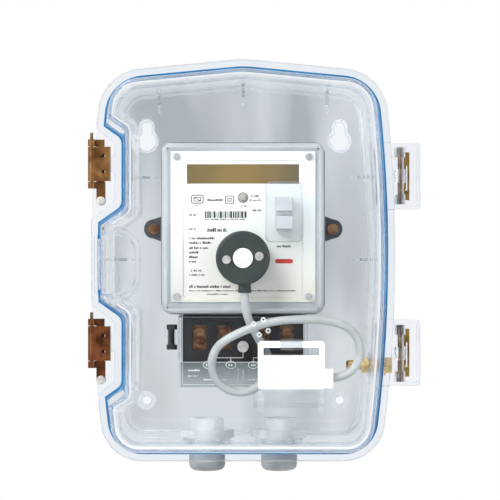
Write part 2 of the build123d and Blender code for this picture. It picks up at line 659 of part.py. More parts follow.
    # Gussets: three under the gable, two on each side
    for across in (-GUSSET_X, 0.0, GUSSET_X):
        crown = HALF_HEIGHT - TRAY_OUTER_BACK - GABLE_DROP * abs(across) / (SHOULDER_WIDTH / 2)
        rib_plane = Plane(origin=(across, 0, 0), x_dir=(0, 0, 1), z_dir=(-1, 0, 0))
        extrude(corner_rib(rib_plane, crown - GUSSET_CROWN_DROP, 1), amount=GUSSET_THICKNESS / 2, both=True)
    for height in (GUSSET_HEIGHT, 0.0):
        wall = side_x(height) - TRAY_OUTER_BACK
        extrude(corner_rib(Plane.XY.offset(height), wall, 1), amount=GUSSET_THICKNESS / 2, both=True)
    notch_wall = -NOTCH_FLOOR - TRAY_OUTER_BACK
    for height, wall in ((GUSSET_HEIGHT, notch_wall), (0.0, side_x(0) - TRAY_OUTER_BACK)):
        extrude(corner_rib(Plane.XY.offset(height), wall, -1), amount=GUSSET_THICKNESS / 2, both=True)
    # Gasket groove, hinge bores and rivet holes
    with BuildSketch(at_depth(TRAY_RIM_DEPTH)) as groove:
        add(outline(Plane.XY, GROOVE_OUTER, True))
        add(outline(Plane.XY, GROOVE_INNER, True), mode=Mode.SUBTRACT)
    extrude(amount=-GROOVE_DEPTH, mode=Mode.SUBTRACT)
    for height in HINGE_HEIGHTS:
        with BuildSketch(Plane.XY.offset(height - HINGE_PIN_LENGTH / 2)):
            with Locations((HINGE_X, -HINGE_DEPTH)):
                Circle(HINGE_PIN_RADIUS)
        extrude(amount=HINGE_PIN_LENGTH, mode=Mode.SUBTRACT)
    with BuildSketch(at_depth(TRAY_RIM_DEPTH)):
        for height in LATCH_HEIGHTS:
            with Locations((LATCH_RIVET_X, height - LATCH_RIVET_DROP)):
                Circle(LATCH_RIVET_RADIUS)
    extrude(amount=-FLANGE_THICKNESS, mode=Mode.SUBTRACT)
write(base_tray, "base_tray")

# Blue gasket in the groove of the tray
with BuildPart() as rim_gasket:
    with BuildSketch(at_depth(TRAY_RIM_DEPTH - GROOVE_DEPTH)):
        add(outline(Plane.XY, GASKET_INSET, True))
        add(outline(Plane.XY, GASKET_INSET + GASKET_WIDTH, True), mode=Mode.SUBTRACT)
    extrude(amount=GROOVE_DEPTH + RIM_GAP)
write(rim_gasket, "rim_gasket")


def scoop(depth, growth):
    """Outline of the finger scoop in the cover's left side, grown by growth."""
    with BuildSketch(at_depth(depth)) as recess:
        with Locations((-HALF_WIDTH, (SCOOP_TOP + SCOOP_BOTTOM) / 2)):
            RectangleRounded(
                2 * (SCOOP_DEPTH + growth), SCOOP_TOP - SCOOP_BOTTOM + 2 * growth, SCOOP_RADIUS + growth
            )
    return recess.sketch


# Clear cover: notched flange, drafted dome, finger scoop and grip, catches and hinge knuckles
SCOOP_FLOOR_DEPTH = COVER_FLANGE_FRONT + SCOOP_FLOOR_RISE
SCOOP_REACH = COVER_FRONT_DEPTH - SCOOP_FLOOR_DEPTH + 2 * WALL
GRIP_CENTRE = (GRIP_INSET + GRIP_WIDTH / 2 - HALF_WIDTH, (SCOOP_TOP + SCOOP_BOTTOM) / 2)
COVER_OUTER_FRONT = FLANGE_WIDTH + COVER_DRAFT
with BuildPart() as cover_hollow:
    loft(
        [
            outline(at_depth(COVER_FLANGE_FRONT), FLANGE_WIDTH + WALL, True),
            outline(at_depth(COVER_FRONT_DEPTH - WALL), COVER_OUTER_FRONT + WALL, True),
        ],
        ruled=True,
    )
    fillet(cover_hollow.faces().sort_by(Axis.Y)[0].edges(), COVER_FRONT_RADIUS - WALL)
    extrude(outline(at_depth(COVER_FLANGE_FRONT), FLANGE_WIDTH + WALL, True), amount=-FLANGE_THICKNESS)
    extrude(scoop(SCOOP_FLOOR_DEPTH - WALL, WALL), amount=SCOOP_REACH, taper=-SCOOP_TAPER, mode=Mode.SUBTRACT)

with BuildPart() as front_cover:
    loft(
        [
            outline(at_depth(COVER_FLANGE_FRONT), FLANGE_WIDTH, True),
            outline(at_depth(COVER_FRONT_DEPTH), COVER_OUTER_FRONT, True),
        ],
        ruled=True,
    )
    fillet(front_cover.faces().sort_by(Axis.Y)[0].edges(), COVER_FRONT_RADIUS)
    extrude(outline(at_depth(COVER_FLANGE_FRONT), 0, True), amount=-FLANGE_THICKNESS)
    extrude(scoop(SCOOP_FLOOR_DEPTH, 0), amount=SCOOP_REACH, taper=-SCOOP_TAPER, mode=Mode.SUBTRACT)
    with BuildSketch(at_depth(COVER_FLANGE_FRONT - GRIP_SINK)):
        with Locations(GRIP_CENTRE):
            Rectangle(GRIP_WIDTH, SCOOP_TOP - SCOOP_BOTTOM)
            Rectangle(GRIP_WIDTH - 2 * GRIP_BAR, SCOOP_TOP - SCOOP_BOTTOM - 2 * GRIP_BAR, mode=Mode.SUBTRACT)
    extrude(amount=GRIP_RISE + GRIP_SINK)
    for height in LATCH_HEIGHTS:
        with BuildSketch(at_depth(RIM_SEAT_DEPTH)):
            with Locations((LATCH_TIP_X + LATCH_CATCH_CLEARANCE, height + LATCH_PLATE_RAISE)):
                Rectangle(
                    NOTCH_FLOOR + LATCH_CATCH_ROOT - LATCH_TIP_X - LATCH_CATCH_CLEARANCE,
                    LATCH_CATCH_HEIGHT,
                    align=(Align.MIN, Align.CENTER),
                )
        extrude(amount=FLANGE_THICKNESS)
    for height in HINGE_HEIGHTS:
        with BuildSketch(Plane.XY.offset(height - COVER_KNUCKLE_LENGTH / 2)):
            with Locations((HINGE_X, -HINGE_DEPTH)):
                Circle(KNUCKLE_RADIUS)
            with Locations((HINGE_X, -RIM_SEAT_DEPTH)):
                Rectangle(
                    HINGE_X - side_x(height) + KNUCKLE_ROOT, KNUCKLE_RADIUS, align=(Align.MAX, Align.MAX)
                )
        extrude(amount=COVER_KNUCKLE_LENGTH)
        with BuildSketch(Plane.XY.offset(height - COVER_KNUCKLE_LENGTH / 2)):
            with Locations((HINGE_X, -HINGE_DEPTH)):
                Circle(HINGE_PIN_RADIUS + HINGE_RUNNING_CLEARANCE)
        extrude(amount=COVER_KNUCKLE_LENGTH, mode=Mode.SUBTRACT)
    add(cover_hollow.part, mode=Mode.SUBTRACT)
write(front_cover, "front_cover")


def hinge_pin(name, height):
    """Steel pin held in the tray's two knuckles."""
    with BuildPart() as pin:
        with BuildSketch(Plane.XY.offset(height - HINGE_PIN_LENGTH / 2)):
            with Locations((HINGE_X, -HINGE_DEPTH)):
                Circle(HINGE_PIN_RADIUS)
        extrude(amount=HINGE_PIN_LENGTH)
        chamfer(pin.faces().sort_by(Axis.Z)[-1].edges(), PIN_CHAMFER)
    write(pin, name)


def hinge_leaf(name, height):
    """Channel strip standing in the pocket of a hinge ear, with a hooked slot in its face."""
    floor = EAR_BACK_DEPTH + EAR_WALL
    with BuildPart() as leaf:
        with BuildSketch(at_depth(floor)):
            with Locations((LEAF_X, height)):
                Rectangle(LEAF_WIDTH, LEAF_HEIGHT)
        extrude(amount=LEAF_FRONT_DEPTH - floor)
        with BuildSketch(at_depth(floor)):
            with Locations((LEAF_X, height)):
                Rectangle(LEAF_WIDTH - 2 * LEAF_SHEET, LEAF_HEIGHT)
        extrude(amount=LEAF_FRONT_DEPTH - floor - LEAF_SHEET, mode=Mode.SUBTRACT)
        with BuildSketch(at_depth(LEAF_FRONT_DEPTH)):
            with Locations((LEAF_X, height - LEAF_SLOT_DROP)):
                Rectangle(LEAF_SHEET, LEAF_HEIGHT / 2)
            with Locations((LEAF_X - LEAF_SHEET / 2, height - LEAF_SLOT_DROP - LEAF_HEIGHT / 4)):
                Rectangle(2 * LEAF_SHEET, LEAF_SHEET)
        extrude(amount=-LEAF_SHEET, mode=Mode.SUBTRACT)
    write(leaf, name)


def latch_bracket(name, height):
    """Sheet bracket on the tray flange with two curls round the latch pin and a riveted strap."""
    low = height + LATCH_PLATE_RAISE - LATCH_PLATE_HEIGHT / 2 - LATCH_SIDE_CLEARANCE
    high = height + LATCH_PLATE_RAISE + LATCH_PLATE_HEIGHT / 2 + LATCH_SIDE_CLEARANCE
    inner = LATCH_PIN_X + LATCH_KNUCKLE_RADIUS + LATCH_SIDE_CLEARANCE
    rivet = height - LATCH_RIVET_DROP
    strap = 2 * LATCH_RIVET_HEAD_RADIUS
    with BuildPart() as bracket:
        with BuildSketch(at_depth(TRAY_RIM_DEPTH)):
            Polygon(
                (inner, low - BRACKET_KNUCKLE_LENGTH),
                (inner, high + BRACKET_KNUCKLE_LENGTH),
                (inner + LATCH_BASE_WIDTH, high + BRACKET_KNUCKLE_LENGTH),
                (inner + LATCH_BASE_WIDTH, low - BRACKET_KNUCKLE_LENGTH),
                align=None,
            )
            with Locations((LATCH_RIVET_X, rivet)):
                Circle(strap / 2)
                Rectangle(strap, low - rivet, align=(Align.CENTER, Align.MIN))
        extrude(amount=LATCH_SHEET)
        for start in (low - BRACKET_KNUCKLE_LENGTH, high):
            with BuildSketch(Plane.XY.offset(start)):
                with Locations((LATCH_PIN_X, -LATCH_PIN_DEPTH)):
                    Circle(LATCH_KNUCKLE_RADIUS)
                with Locations((LATCH_PIN_X, -TRAY_RIM_DEPTH)):
                    Rectangle(inner - LATCH_PIN_X, LATCH_SHEET, align=(Align.MIN, Align.MAX))
            extrude(amount=BRACKET_KNUCKLE_LENGTH)
        with BuildSketch(Plane.XY.offset(low - BRACKET_KNUCKLE_LENGTH)):
            with Locations((LATCH_PIN_X, -LATCH_PIN_DEPTH)):
                Circle(LATCH_PIN_RADIUS)
        extrude(amount=high - low + 2 * BRACKET_KNUCKLE_LENGTH, mode=Mode.SUBTRACT)
        with BuildSketch(at_depth(TRAY_RIM_DEPTH)):
            with Locations((LATCH_RIVET_X, rivet)):
                Circle(LATCH_RIVET_RADIUS)
        extrude(amount=LATCH_SHEET, mode=Mode.SUBTRACT)
    write(bracket, name)


def latch_pin(name, height):
    """Pin through the bracket curls, standing a little proud at the top."""
    length = LATCH_PLATE_HEIGHT + 2 * LATCH_SIDE_CLEARANCE + 2 * BRACKET_KNUCKLE_LENGTH
    low = height + LATCH_PLATE_RAISE - length / 2
    with BuildPart() as pin:
        with BuildSketch(Plane.XY.offset(low)):
            with Locations((LATCH_PIN_X, -LATCH_PIN_DEPTH)):
                Circle(LATCH_PIN_RADIUS)
        extrude(amount=length + BRACKET_KNUCKLE_LENGTH)
    write(pin, name)


def latch_plate(name, height):
    """Sheet plate curled round the latch pin, with its free edge rolled back and two seal holes."""
    middle = height + LATCH_PLATE_RAISE
    front = LATCH_PIN_DEPTH + LATCH_KNUCKLE_RADIUS
    with BuildPart() as plate:
        with BuildSketch(Plane.XY.offset(middle - LATCH_PLATE_HEIGHT / 2)) as section:
            with Locations((LATCH_PIN_X, -front)):
                Rectangle(LATCH_TIP_X - LATCH_PIN_X, LATCH_SHEET, align=(Align.MIN, Align.MIN))
            with Locations((LATCH_TIP_X, -front)):
                Rectangle(
                    LATCH_SHEET, LATCH_KNUCKLE_RADIUS - LATCH_ROLL_CLEARANCE, align=(Align.MAX, Align.MIN)
                )
            rolled = section.vertices().filter_by_position(Axis.X, LATCH_TIP_X - 0.01, LATCH_TIP_X + 0.01)
            fillet(rolled.sort_by(Axis.Y)[0], LATCH_SHEET)
            with Locations((LATCH_PIN_X, -LATCH_PIN_DEPTH)):
                Circle(LATCH_KNUCKLE_RADIUS)
                Circle(LATCH_PIN_RADIUS + HINGE_RUNNING_CLEARANCE, mode=Mode.SUBTRACT)
        extrude(amount=LATCH_PLATE_HEIGHT)
        with BuildSketch(at_depth(front)):
            with Locations(
                (SEAL_HOLE_X, middle - SEAL_HOLE_PITCH / 2), (SEAL_HOLE_X, middle + SEAL_HOLE_PITCH / 2)
            ):
                Circle(SEAL_HOLE_RADIUS)
        extrude(amount=-LATCH_SHEET, mode=Mode.SUBTRACT)
    write(plate, name)


def latch_rivet(name, height):
    """Rivet through the bracket strap and the tray flange, headed on both sides."""
    front = TRAY_RIM_DEPTH + LATCH_SHEET
    with BuildPart() as rivet:
        with BuildSketch(at_depth(FLANGE_BACK_DEPTH)):
            with Locations((LATCH_RIVET_X, height - LATCH_RIVET_DROP)):
                Circle(LATCH_RIVET_RADIUS)
        extrude(amount=front - FLANGE_BACK_DEPTH)
        for seat, sign in ((front, 1), (FLANGE_BACK_DEPTH, -1)):
            with BuildSketch(at_depth(seat)):
                with Locations((LATCH_RIVET_X, height - LATCH_RIVET_DROP)):
                    Circle(LATCH_RIVET_HEAD_RADIUS)
            extrude(amount=sign * LATCH_RIVET_HEAD_HEIGHT)
        fillet(rivet.faces().sort_by(Axis.Y)[0].edges(), LATCH_RIVET_ROUND)
    write(rivet, name)


for level, hinge_height, latch_height in (
    ("upper", UPPER_HINGE_HEIGHT, UPPER_LATCH_HEIGHT),
    ("lower", LOWER_HINGE_HEIGHT, LOWER_LATCH_HEIGHT),
):
    hinge_pin(f"{level}_hinge_pin", hinge_height)
    hinge_leaf(f"{level}_hinge_leaf", hinge_height)
    latch_bracket(f"{level}_latch_bracket", latch_height)
    latch_pin(f"{level}_latch_pin", latch_height)
    latch_plate(f"{level}_latch_plate", latch_height)
    latch_rivet(f"{level}_latch_rivet", latch_height)

POSTS = [
    (side * FACE_RIVET_X, FRAME_CENTRE + rise * FACE_RIVET_RISE) for side in (-1, 1) for rise in (-1, 1)
]
LUGS = ((-LUG_X, LUG_HEIGHT), (LUG_X, LUG_HEIGHT))
BUTTONS = ((BUTTON_X, UPPER_BUTTON_HEIGHT), (BUTTON_X, LOWER_BUTTON_HEIGHT))
METER_FLOOR_DEPTH = METER_BACK_DEPTH + METER_WALL
FACE_FRONT = FACE_DEPTH + FACE_THICKNESS

# Dark case of the meter with its lugs and posts
with BuildPart() as meter_base:
    with BuildSketch(at_depth(METER_BACK_DEPTH)):
        with Locations((0, METER_CENTRE)):
            RectangleRounded(METER_WIDTH, METER_HEIGHT, METER_RADIUS)
    extrude(amount=METER_SPLIT_DEPTH - METER_BACK_DEPTH)
    with BuildSketch(at_depth(METER_FLOOR_DEPTH)):
        with Locations((0, METER_CENTRE)):
            RectangleRounded(
                METER_WIDTH - 2 * METER_WALL, METER_HEIGHT - 2 * METER_WALL, METER_RADIUS - METER_WALL
            )
    extrude(amount=METER_SPLIT_DEPTH - METER_FLOOR_DEPTH, mode=Mode.SUBTRACT)
    with BuildSketch(at_depth(METER_BACK_DEPTH)):
        with Locations(*LUGS):
            Circle(LUG_RADIUS)
        for side in (-1, 1):
            root = side * (METER_WIDTH / 2 - METER_WALL / 2)
            Polygon(
                (root, LUG_HEIGHT - LUG_ROOT_HEIGHT / 2),
                (root, LUG_HEIGHT + LUG_ROOT_HEIGHT / 2),
                (side * LUG_X, LUG_HEIGHT + LUG_RADIUS),
                (side * LUG_X, LUG_HEIGHT - LUG_RADIUS),
                align=None,
            )
    extrude(amount=LUG_THICKNESS)
    with BuildSketch(at_depth(METER_BACK_DEPTH)):
        with Locations(*LUGS):
            Circle(LUG_SCREW_RADIUS + LUG_SCREW_CLEARANCE)
    extrude(amount=LUG_THICKNESS, mode=Mode.SUBTRACT)
    with BuildSketch(at_depth(METER_FLOOR_DEPTH)):
        with Locations(*POSTS):
            Circle(POST_RADIUS)
    extrude(amount=BOARD_DEPTH - METER_FLOOR_DEPTH)
    with BuildSketch(at_depth(BOARD_DEPTH)):
        with Locations(*POSTS):
            Circle(POST_NECK_RADIUS)
    extrude(amount=FACE_DEPTH - BOARD_DEPTH)
    with BuildSketch(at_depth(FACE_DEPTH)):
        with Locations(*POSTS):
            Circle(FACE_RIVET_RADIUS)
    extrude(amount=-FACE_RIVET_HOLE, mode=Mode.SUBTRACT)
write(meter_base, "meter_base")

with BuildPart() as meter_fixing_screws:
    with BuildSketch(at_depth(METER_BACK_DEPTH - LUG_SCREW_BITE)):
        with Locations(*LUGS):
            Circle(LUG_SCREW_RADIUS)
    extrude(amount=LUG_THICKNESS + LUG_SCREW_BITE)
    with BuildSketch(at_depth(METER_BACK_DEPTH + LUG_THICKNESS)):
        with Locations(*LUGS):
            Circle(LUG_SCREW_HEAD_RADIUS)
    extrude(amount=LUG_SCREW_HEAD_HEIGHT)
    with BuildSketch(at_depth(METER_BACK_DEPTH + LUG_THICKNESS + LUG_SCREW_HEAD_HEIGHT)):
        with Locations(*LUGS):
            Rectangle(2 * LUG_SCREW_HEAD_RADIUS, SCREW_SLOT_WIDTH)
    extrude(amount=-SCREW_SLOT_DEPTH, mode=Mode.SUBTRACT)
write(meter_fixing_screws, "meter_fixing_screws")

with BuildPart() as circuit_board:
    with BuildSketch(at_depth(BOARD_DEPTH)):
        with Locations((0, METER_CENTRE)):
            Rectangle(METER_WIDTH - 2 * BOARD_MARGIN, METER_HEIGHT - 2 * BOARD_MARGIN)
        with Locations(*POSTS):
            Circle(POST_NECK_RADIUS + SEAT_CLEARANCE, mode=Mode.SUBTRACT)
    extrude(amount=BOARD_THICKNESS)
write(circuit_board, "circuit_board")

BOARD_FRONT = BOARD_DEPTH + BOARD_THICKNESS
with BuildPart() as display_battery:
    with BuildSketch(at_depth(BOARD_DEPTH)):
        with Locations((CELL_X, METER_TOP - CELL_DROP)):
            Circle(CELL_RADIUS)
    extrude(amount=-CELL_THICKNESS)
write(display_battery, "display_battery")

with BuildPart() as current_shunt:
    with BuildSketch(at_depth(METER_FLOOR_DEPTH)):
        with Locations((0, METER_BOTTOM + METER_WALL + SHUNT_RISE)):
            Rectangle(SHUNT_WIDTH, SHUNT_HEIGHT)
            Rectangle(
                SHUNT_SLOT_WIDTH, SHUNT_SLOT_HEIGHT, align=(Align.CENTER, Align.MIN), mode=Mode.SUBTRACT
            )
    extrude(amount=SHUNT_THICKNESS)
write(current_shunt, "current_shunt")

with BuildPart() as display_panel:
    with BuildSketch(at_depth(BOARD_FRONT)):
        with Locations((0, DISPLAY_CENTRE)):
            Rectangle(DISPLAY_WIDTH + 2 * DISPLAY_BORDER, DISPLAY_HEIGHT + 2 * DISPLAY_BORDER)
    extrude(amount=FACE_DEPTH - BOARD_FRONT)
    with BuildSketch(at_depth(FACE_DEPTH)):
        with Locations((0, DISPLAY_CENTRE)):
            Rectangle(DISPLAY_WIDTH, DISPLAY_HEIGHT)
    extrude(amount=FACE_THICKNESS - DISPLAY_RECESS)
write(display_panel, "display_panel")

with BuildPart() as pulse_lamp:
    with BuildSketch(at_depth(BOARD_FRONT)):
        with Locations((0, LAMP_HEIGHT)):
            Circle(LAMP_RADIUS)
    extrude(amount=FACE_FRONT + LAMP_PROUD - BOARD_FRONT)
    fillet(pulse_lamp.faces().sort_by(Axis.Y)[0].edges(), LAMP_ROUND)
write(pulse_lamp, "pulse_lamp")

# White face plate that fills the cover, with a raised bevelled frame
with BuildPart() as meter_face:
    with BuildSketch(at_depth(FACE_DEPTH)):
        with Locations((0, METER_CENTRE)):
            RectangleRounded(METER_WIDTH - 2 * FACE_MARGIN, METER_HEIGHT - 2 * FACE_MARGIN, FACE_RADIUS)
    extrude(amount=FACE_THICKNESS)
    with BuildSketch(at_depth(FACE_FRONT)):
        with Locations((0, FRAME_CENTRE)):
            RectangleRounded(FRAME_WIDTH, FRAME_HEIGHT, FRAME_RADIUS)
    extrude(amount=FACE_FRAME_HEIGHT)
    with BuildSketch(at_depth(FACE_FRONT)):
        with Locations((0, FIELD_CENTRE)):
            RectangleRounded(FIELD_WIDTH, FIELD_HEIGHT, FIELD_RADIUS)
    extrude(amount=FACE_FRAME_HEIGHT, taper=-FRAME_SLOPE, mode=Mode.SUBTRACT)
    with BuildSketch(at_depth(FACE_DEPTH)):
        with Locations((0, DISPLAY_CENTRE)):
            Rectangle(DISPLAY_WIDTH, DISPLAY_HEIGHT)
        with Locations((0, LAMP_HEIGHT)):
            Circle(LAMP_RADIUS + SEAT_CLEARANCE)
        with Locations(*BUTTONS):
            Rectangle(BUTTON_WIDTH + 2 * BUTTON_CLEARANCE, BUTTON_TALL + 2 * BUTTON_CLEARANCE)
        with Locations(*POSTS):
            Circle(FACE_RIVET_RADIUS)
    extrude(amount=FACE_THICKNESS + FACE_FRAME_HEIGHT, mode=Mode.SUBTRACT)
write(meter_face, "meter_face")

with BuildPart() as face_rivets:
    with BuildSketch(at_depth(FACE_DEPTH - FACE_RIVET_SHANK)):
        with Locations(*POSTS):
            Circle(FACE_RIVET_RADIUS)
    extrude(amount=FACE_RIVET_SHANK + FACE_THICKNESS + FACE_FRAME_HEIGHT)
    with BuildSketch(at_depth(FACE_FRONT + FACE_FRAME_HEIGHT)):
        with Locations(*POSTS):
            Circle(FACE_RIVET_HEAD_RADIUS)
    extrude(amount=FACE_RIVET_HEAD_HEIGHT)
write(face_rivets, "face_rivets")


def push_button(name, height):
    """Square push button guided in the meter cover, with a stop flange behind the face."""
    with BuildPart() as button:
        with BuildSketch(at_depth(BOARD_FRONT + BUTTON_TRAVEL + BUTTON_STANDOFF)):
            with Locations((BUTTON_X, height)):
                Rectangle(BUTTON_WIDTH, BUTTON_TALL)
        extrude(amount=METER_FRONT_DEPTH + BUTTON_PROUD - BOARD_FRONT - BUTTON_TRAVEL - BUTTON_STANDOFF)
        fillet(button.faces().sort_by(Axis.Y)[0].edges(), BUTTON_ROUND)
        with BuildSketch(at_depth(FACE_DEPTH - BUTTON_CLEARANCE)):
            with Locations((BUTTON_X, height)):
                Rectangle(BUTTON_WIDTH + 2 * BUTTON_FLANGE, BUTTON_TALL + 2 * BUTTON_FLANGE)
        extrude(amount=-BUTTON_FLANGE_THICKNESS)
    write(button, name)


push_button("upper_button", UPPER_BUTTON_HEIGHT)
push_button("lower_button", LOWER_BUTTON_HEIGHT)

# Clear moulded cover of the meter
with BuildPart() as meter_cover:
    with BuildSketch(at_depth(METER_SPLIT_DEPTH)):
        with Locations((0, METER_CENTRE)):
            RectangleRounded(METER_WIDTH, METER_HEIGHT, METER_RADIUS)
    with BuildSketch(at_depth(METER_FRONT_DEPTH)):
        with Locations((0, METER_CENTRE)):
            RectangleRounded(
                METER_WIDTH - 2 * METER_COVER_DRAFT, METER_HEIGHT - 2 * METER_COVER_DRAFT, METER_RADIUS
            )
    loft(ruled=True)
    fillet(meter_cover.faces().sort_by(Axis.Y)[0].edges(), METER_COVER_EDGE)
    with BuildSketch(at_depth(METER_SPLIT_DEPTH)):
        with Locations((0, METER_CENTRE)):
            RectangleRounded(
                METER_WIDTH - 2 * METER_WALL - 2 * METER_COVER_DRAFT,
                METER_HEIGHT - 2 * METER_WALL - 2 * METER_COVER_DRAFT,
                METER_RADIUS - METER_WALL,
            )
    extrude(amount=METER_FRONT_DEPTH - METER_WALL - METER_SPLIT_DEPTH, mode=Mode.SUBTRACT)
    with BuildSketch(at_depth(METER_FRONT_DEPTH)):
        with Locations(*BUTTONS):
            Rectangle(BUTTON_WIDTH + 2 * BUTTON_CLEARANCE, BUTTON_TALL + 2 * BUTTON_CLEARANCE)
    extrude(amount=-2 * METER_WALL, mode=Mode.SUBTRACT)
write(meter_cover, "meter_cover")

# Clear guard over the push buttons, with two seal eyes
GUARD_CENTRE = ((GUARD_LEFT + GUARD_RIGHT) / 2, (GUARD_TOP + GUARD_BOTTOM) / 2)
GUARD_EYES = [(GUARD_CENTRE[0] + side * GUARD_EYE_SPAN, GUARD_TOP - GUARD_EYE_DROP) for side in (-1, 1)]
with BuildPart() as button_guard:
    with BuildSketch(at_depth(METER_FRONT_DEPTH)):
        with Locations(GUARD_CENTRE):
            RectangleRounded(GUARD_RIGHT - GUARD_LEFT, GUARD_TOP - GUARD_BOTTOM, GUARD_RADIUS)
    extrude(amount=GUARD_HEIGHT)
    fillet(button_guard.faces().sort_by(Axis.Y)[0].edges(), GUARD_EDGE)
    with BuildSketch(at_depth(METER_FRONT_DEPTH)):
        with Locations(GUARD_CENTRE):
            RectangleRounded(
                GUARD_RIGHT - GUARD_LEFT - 2 * GUARD_WALL,
                GUARD_TOP - GUARD_BOTTOM - 2 * GUARD_WALL,
                GUARD_RADIUS - GUARD_WALL,
            )
    extrude(amount=GUARD_HEIGHT - GUARD_WALL, mode=Mode.SUBTRACT)
    with BuildSketch(at_depth(METER_FRONT_DEPTH + GUARD_HEIGHT - GUARD_EYE_SINK)):
        with Locations(*GUARD_EYES):
            Circle(EYELET_RADIUS)
            Circle(EYELET_BORE, mode=Mode.SUBTRACT)
    extrude(amount=GUARD_EYE_HEIGHT + GUARD_EYE_SINK)
write(button_guard, "button_guard")

# Black terminal block with four wells, cable bores from below and a post for the cover screw
TERMINALS = [(across, TERMINAL_CENTRE) for across in TERMINAL_XS]
COVER_INNER_FRONT = TERMINAL_COVER_FRONT - TERMINAL_COVER_WALL
with BuildPart() as terminal_block:
    with BuildSketch(at_depth(METER_BACK_DEPTH)):
        with Locations((0, BLOCK_CENTRE)):
            Rectangle(BLOCK_WIDTH, BLOCK_HEIGHT)
    extrude(amount=BLOCK_FRONT_DEPTH - METER_BACK_DEPTH)
    with BuildSketch(at_depth(BLOCK_FRONT_DEPTH)):
        with Locations((0, COVER_SCREW_HEIGHT)):
            Circle(COVER_POST_RADIUS)
    extrude(amount=COVER_INNER_FRONT - BLOCK_FRONT_DEPTH)
    with BuildSketch(at_depth(WELL_FLOOR_DEPTH)):
        with Locations(*TERMINALS):
            Rectangle(WELL_WIDTH, WELL_HEIGHT)
    extrude(amount=BLOCK_FRONT_DEPTH - WELL_FLOOR_DEPTH, mode=Mode.SUBTRACT)
    with BuildSketch(Plane.XY.offset(METER_BOTTOM - BLOCK_HEIGHT)):
        with Locations(*[(across, -TERMINAL_BORE_DEPTH) for across in TERMINAL_XS]):
            Circle(TERMINAL_BORE_RADIUS)
    extrude(amount=BLOCK_HEIGHT / 2, mode=Mode.SUBTRACT)
    with BuildSketch(at_depth(COVER_INNER_FRONT)):
        with Locations((0, COVER_SCREW_HEIGHT)):
            Circle(COVER_SCREW_RADIUS)
    extrude(amount=-COVER_SCREW_HOLE, mode=Mode.SUBTRACT)
write(terminal_block, "terminal_block")

SCREW_SPOTS = [
    (across, TERMINAL_CENTRE + rise * TERMINAL_SCREW_PITCH / 2) for across in TERMINAL_XS for rise in (-1, 1)
]
with BuildPart() as terminal_bars:
    with BuildSketch(at_depth(WELL_FLOOR_DEPTH)):
        with Locations(*TERMINALS):
            Rectangle(WELL_WIDTH - 2 * BAR_CLEARANCE, WELL_HEIGHT - 2 * BAR_CLEARANCE)
    extrude(amount=BAR_FRONT_DEPTH - WELL_FLOOR_DEPTH)
    with BuildSketch(Plane.XY.offset(TERMINAL_CENTRE - WELL_HEIGHT / 2)):
        with Locations(*[(across, -TERMINAL_BORE_DEPTH) for across in TERMINAL_XS]):
            Circle(TERMINAL_BORE_RADIUS)
    extrude(amount=WELL_HEIGHT - TERMINAL_BORE_STOP, mode=Mode.SUBTRACT)
    with BuildSketch(at_depth(BAR_FRONT_DEPTH)):
        with Locations(*SCREW_SPOTS):
            Circle(TERMINAL_SCREW_RADIUS)
    extrude(amount=-TERMINAL_SCREW_BITE, mode=Mode.SUBTRACT)
write(terminal_bars, "terminal_bars")

with BuildPart() as terminal_screws:
    with BuildSketch(at_depth(BAR_FRONT_DEPTH - TERMINAL_SCREW_BITE)):
        with Locations(*SCREW_SPOTS):
            Circle(TERMINAL_SCREW_RADIUS)
    extrude(amount=TERMINAL_SCREW_BITE)
    with BuildSketch(at_depth(BAR_FRONT_DEPTH)):
        with Locations(*SCREW_SPOTS):
            Circle(TERMINAL_SCREW_HEAD_RADIUS)
    extrude(amount=TERMINAL_SCREW_HEAD_HEIGHT)
    with BuildSketch(at_depth(BAR_FRONT_DEPTH + TERMINAL_SCREW_HEAD_HEIGHT)):
        with Locations(*SCREW_SPOTS):
            Rectangle(2 * TERMINAL_SCREW_HEAD_RADIUS, SCREW_SLOT_WIDTH)
    extrude(amount=-SCREW_SLOT_DEPTH, mode=Mode.SUBTRACT)
write(terminal_screws, "terminal_screws")

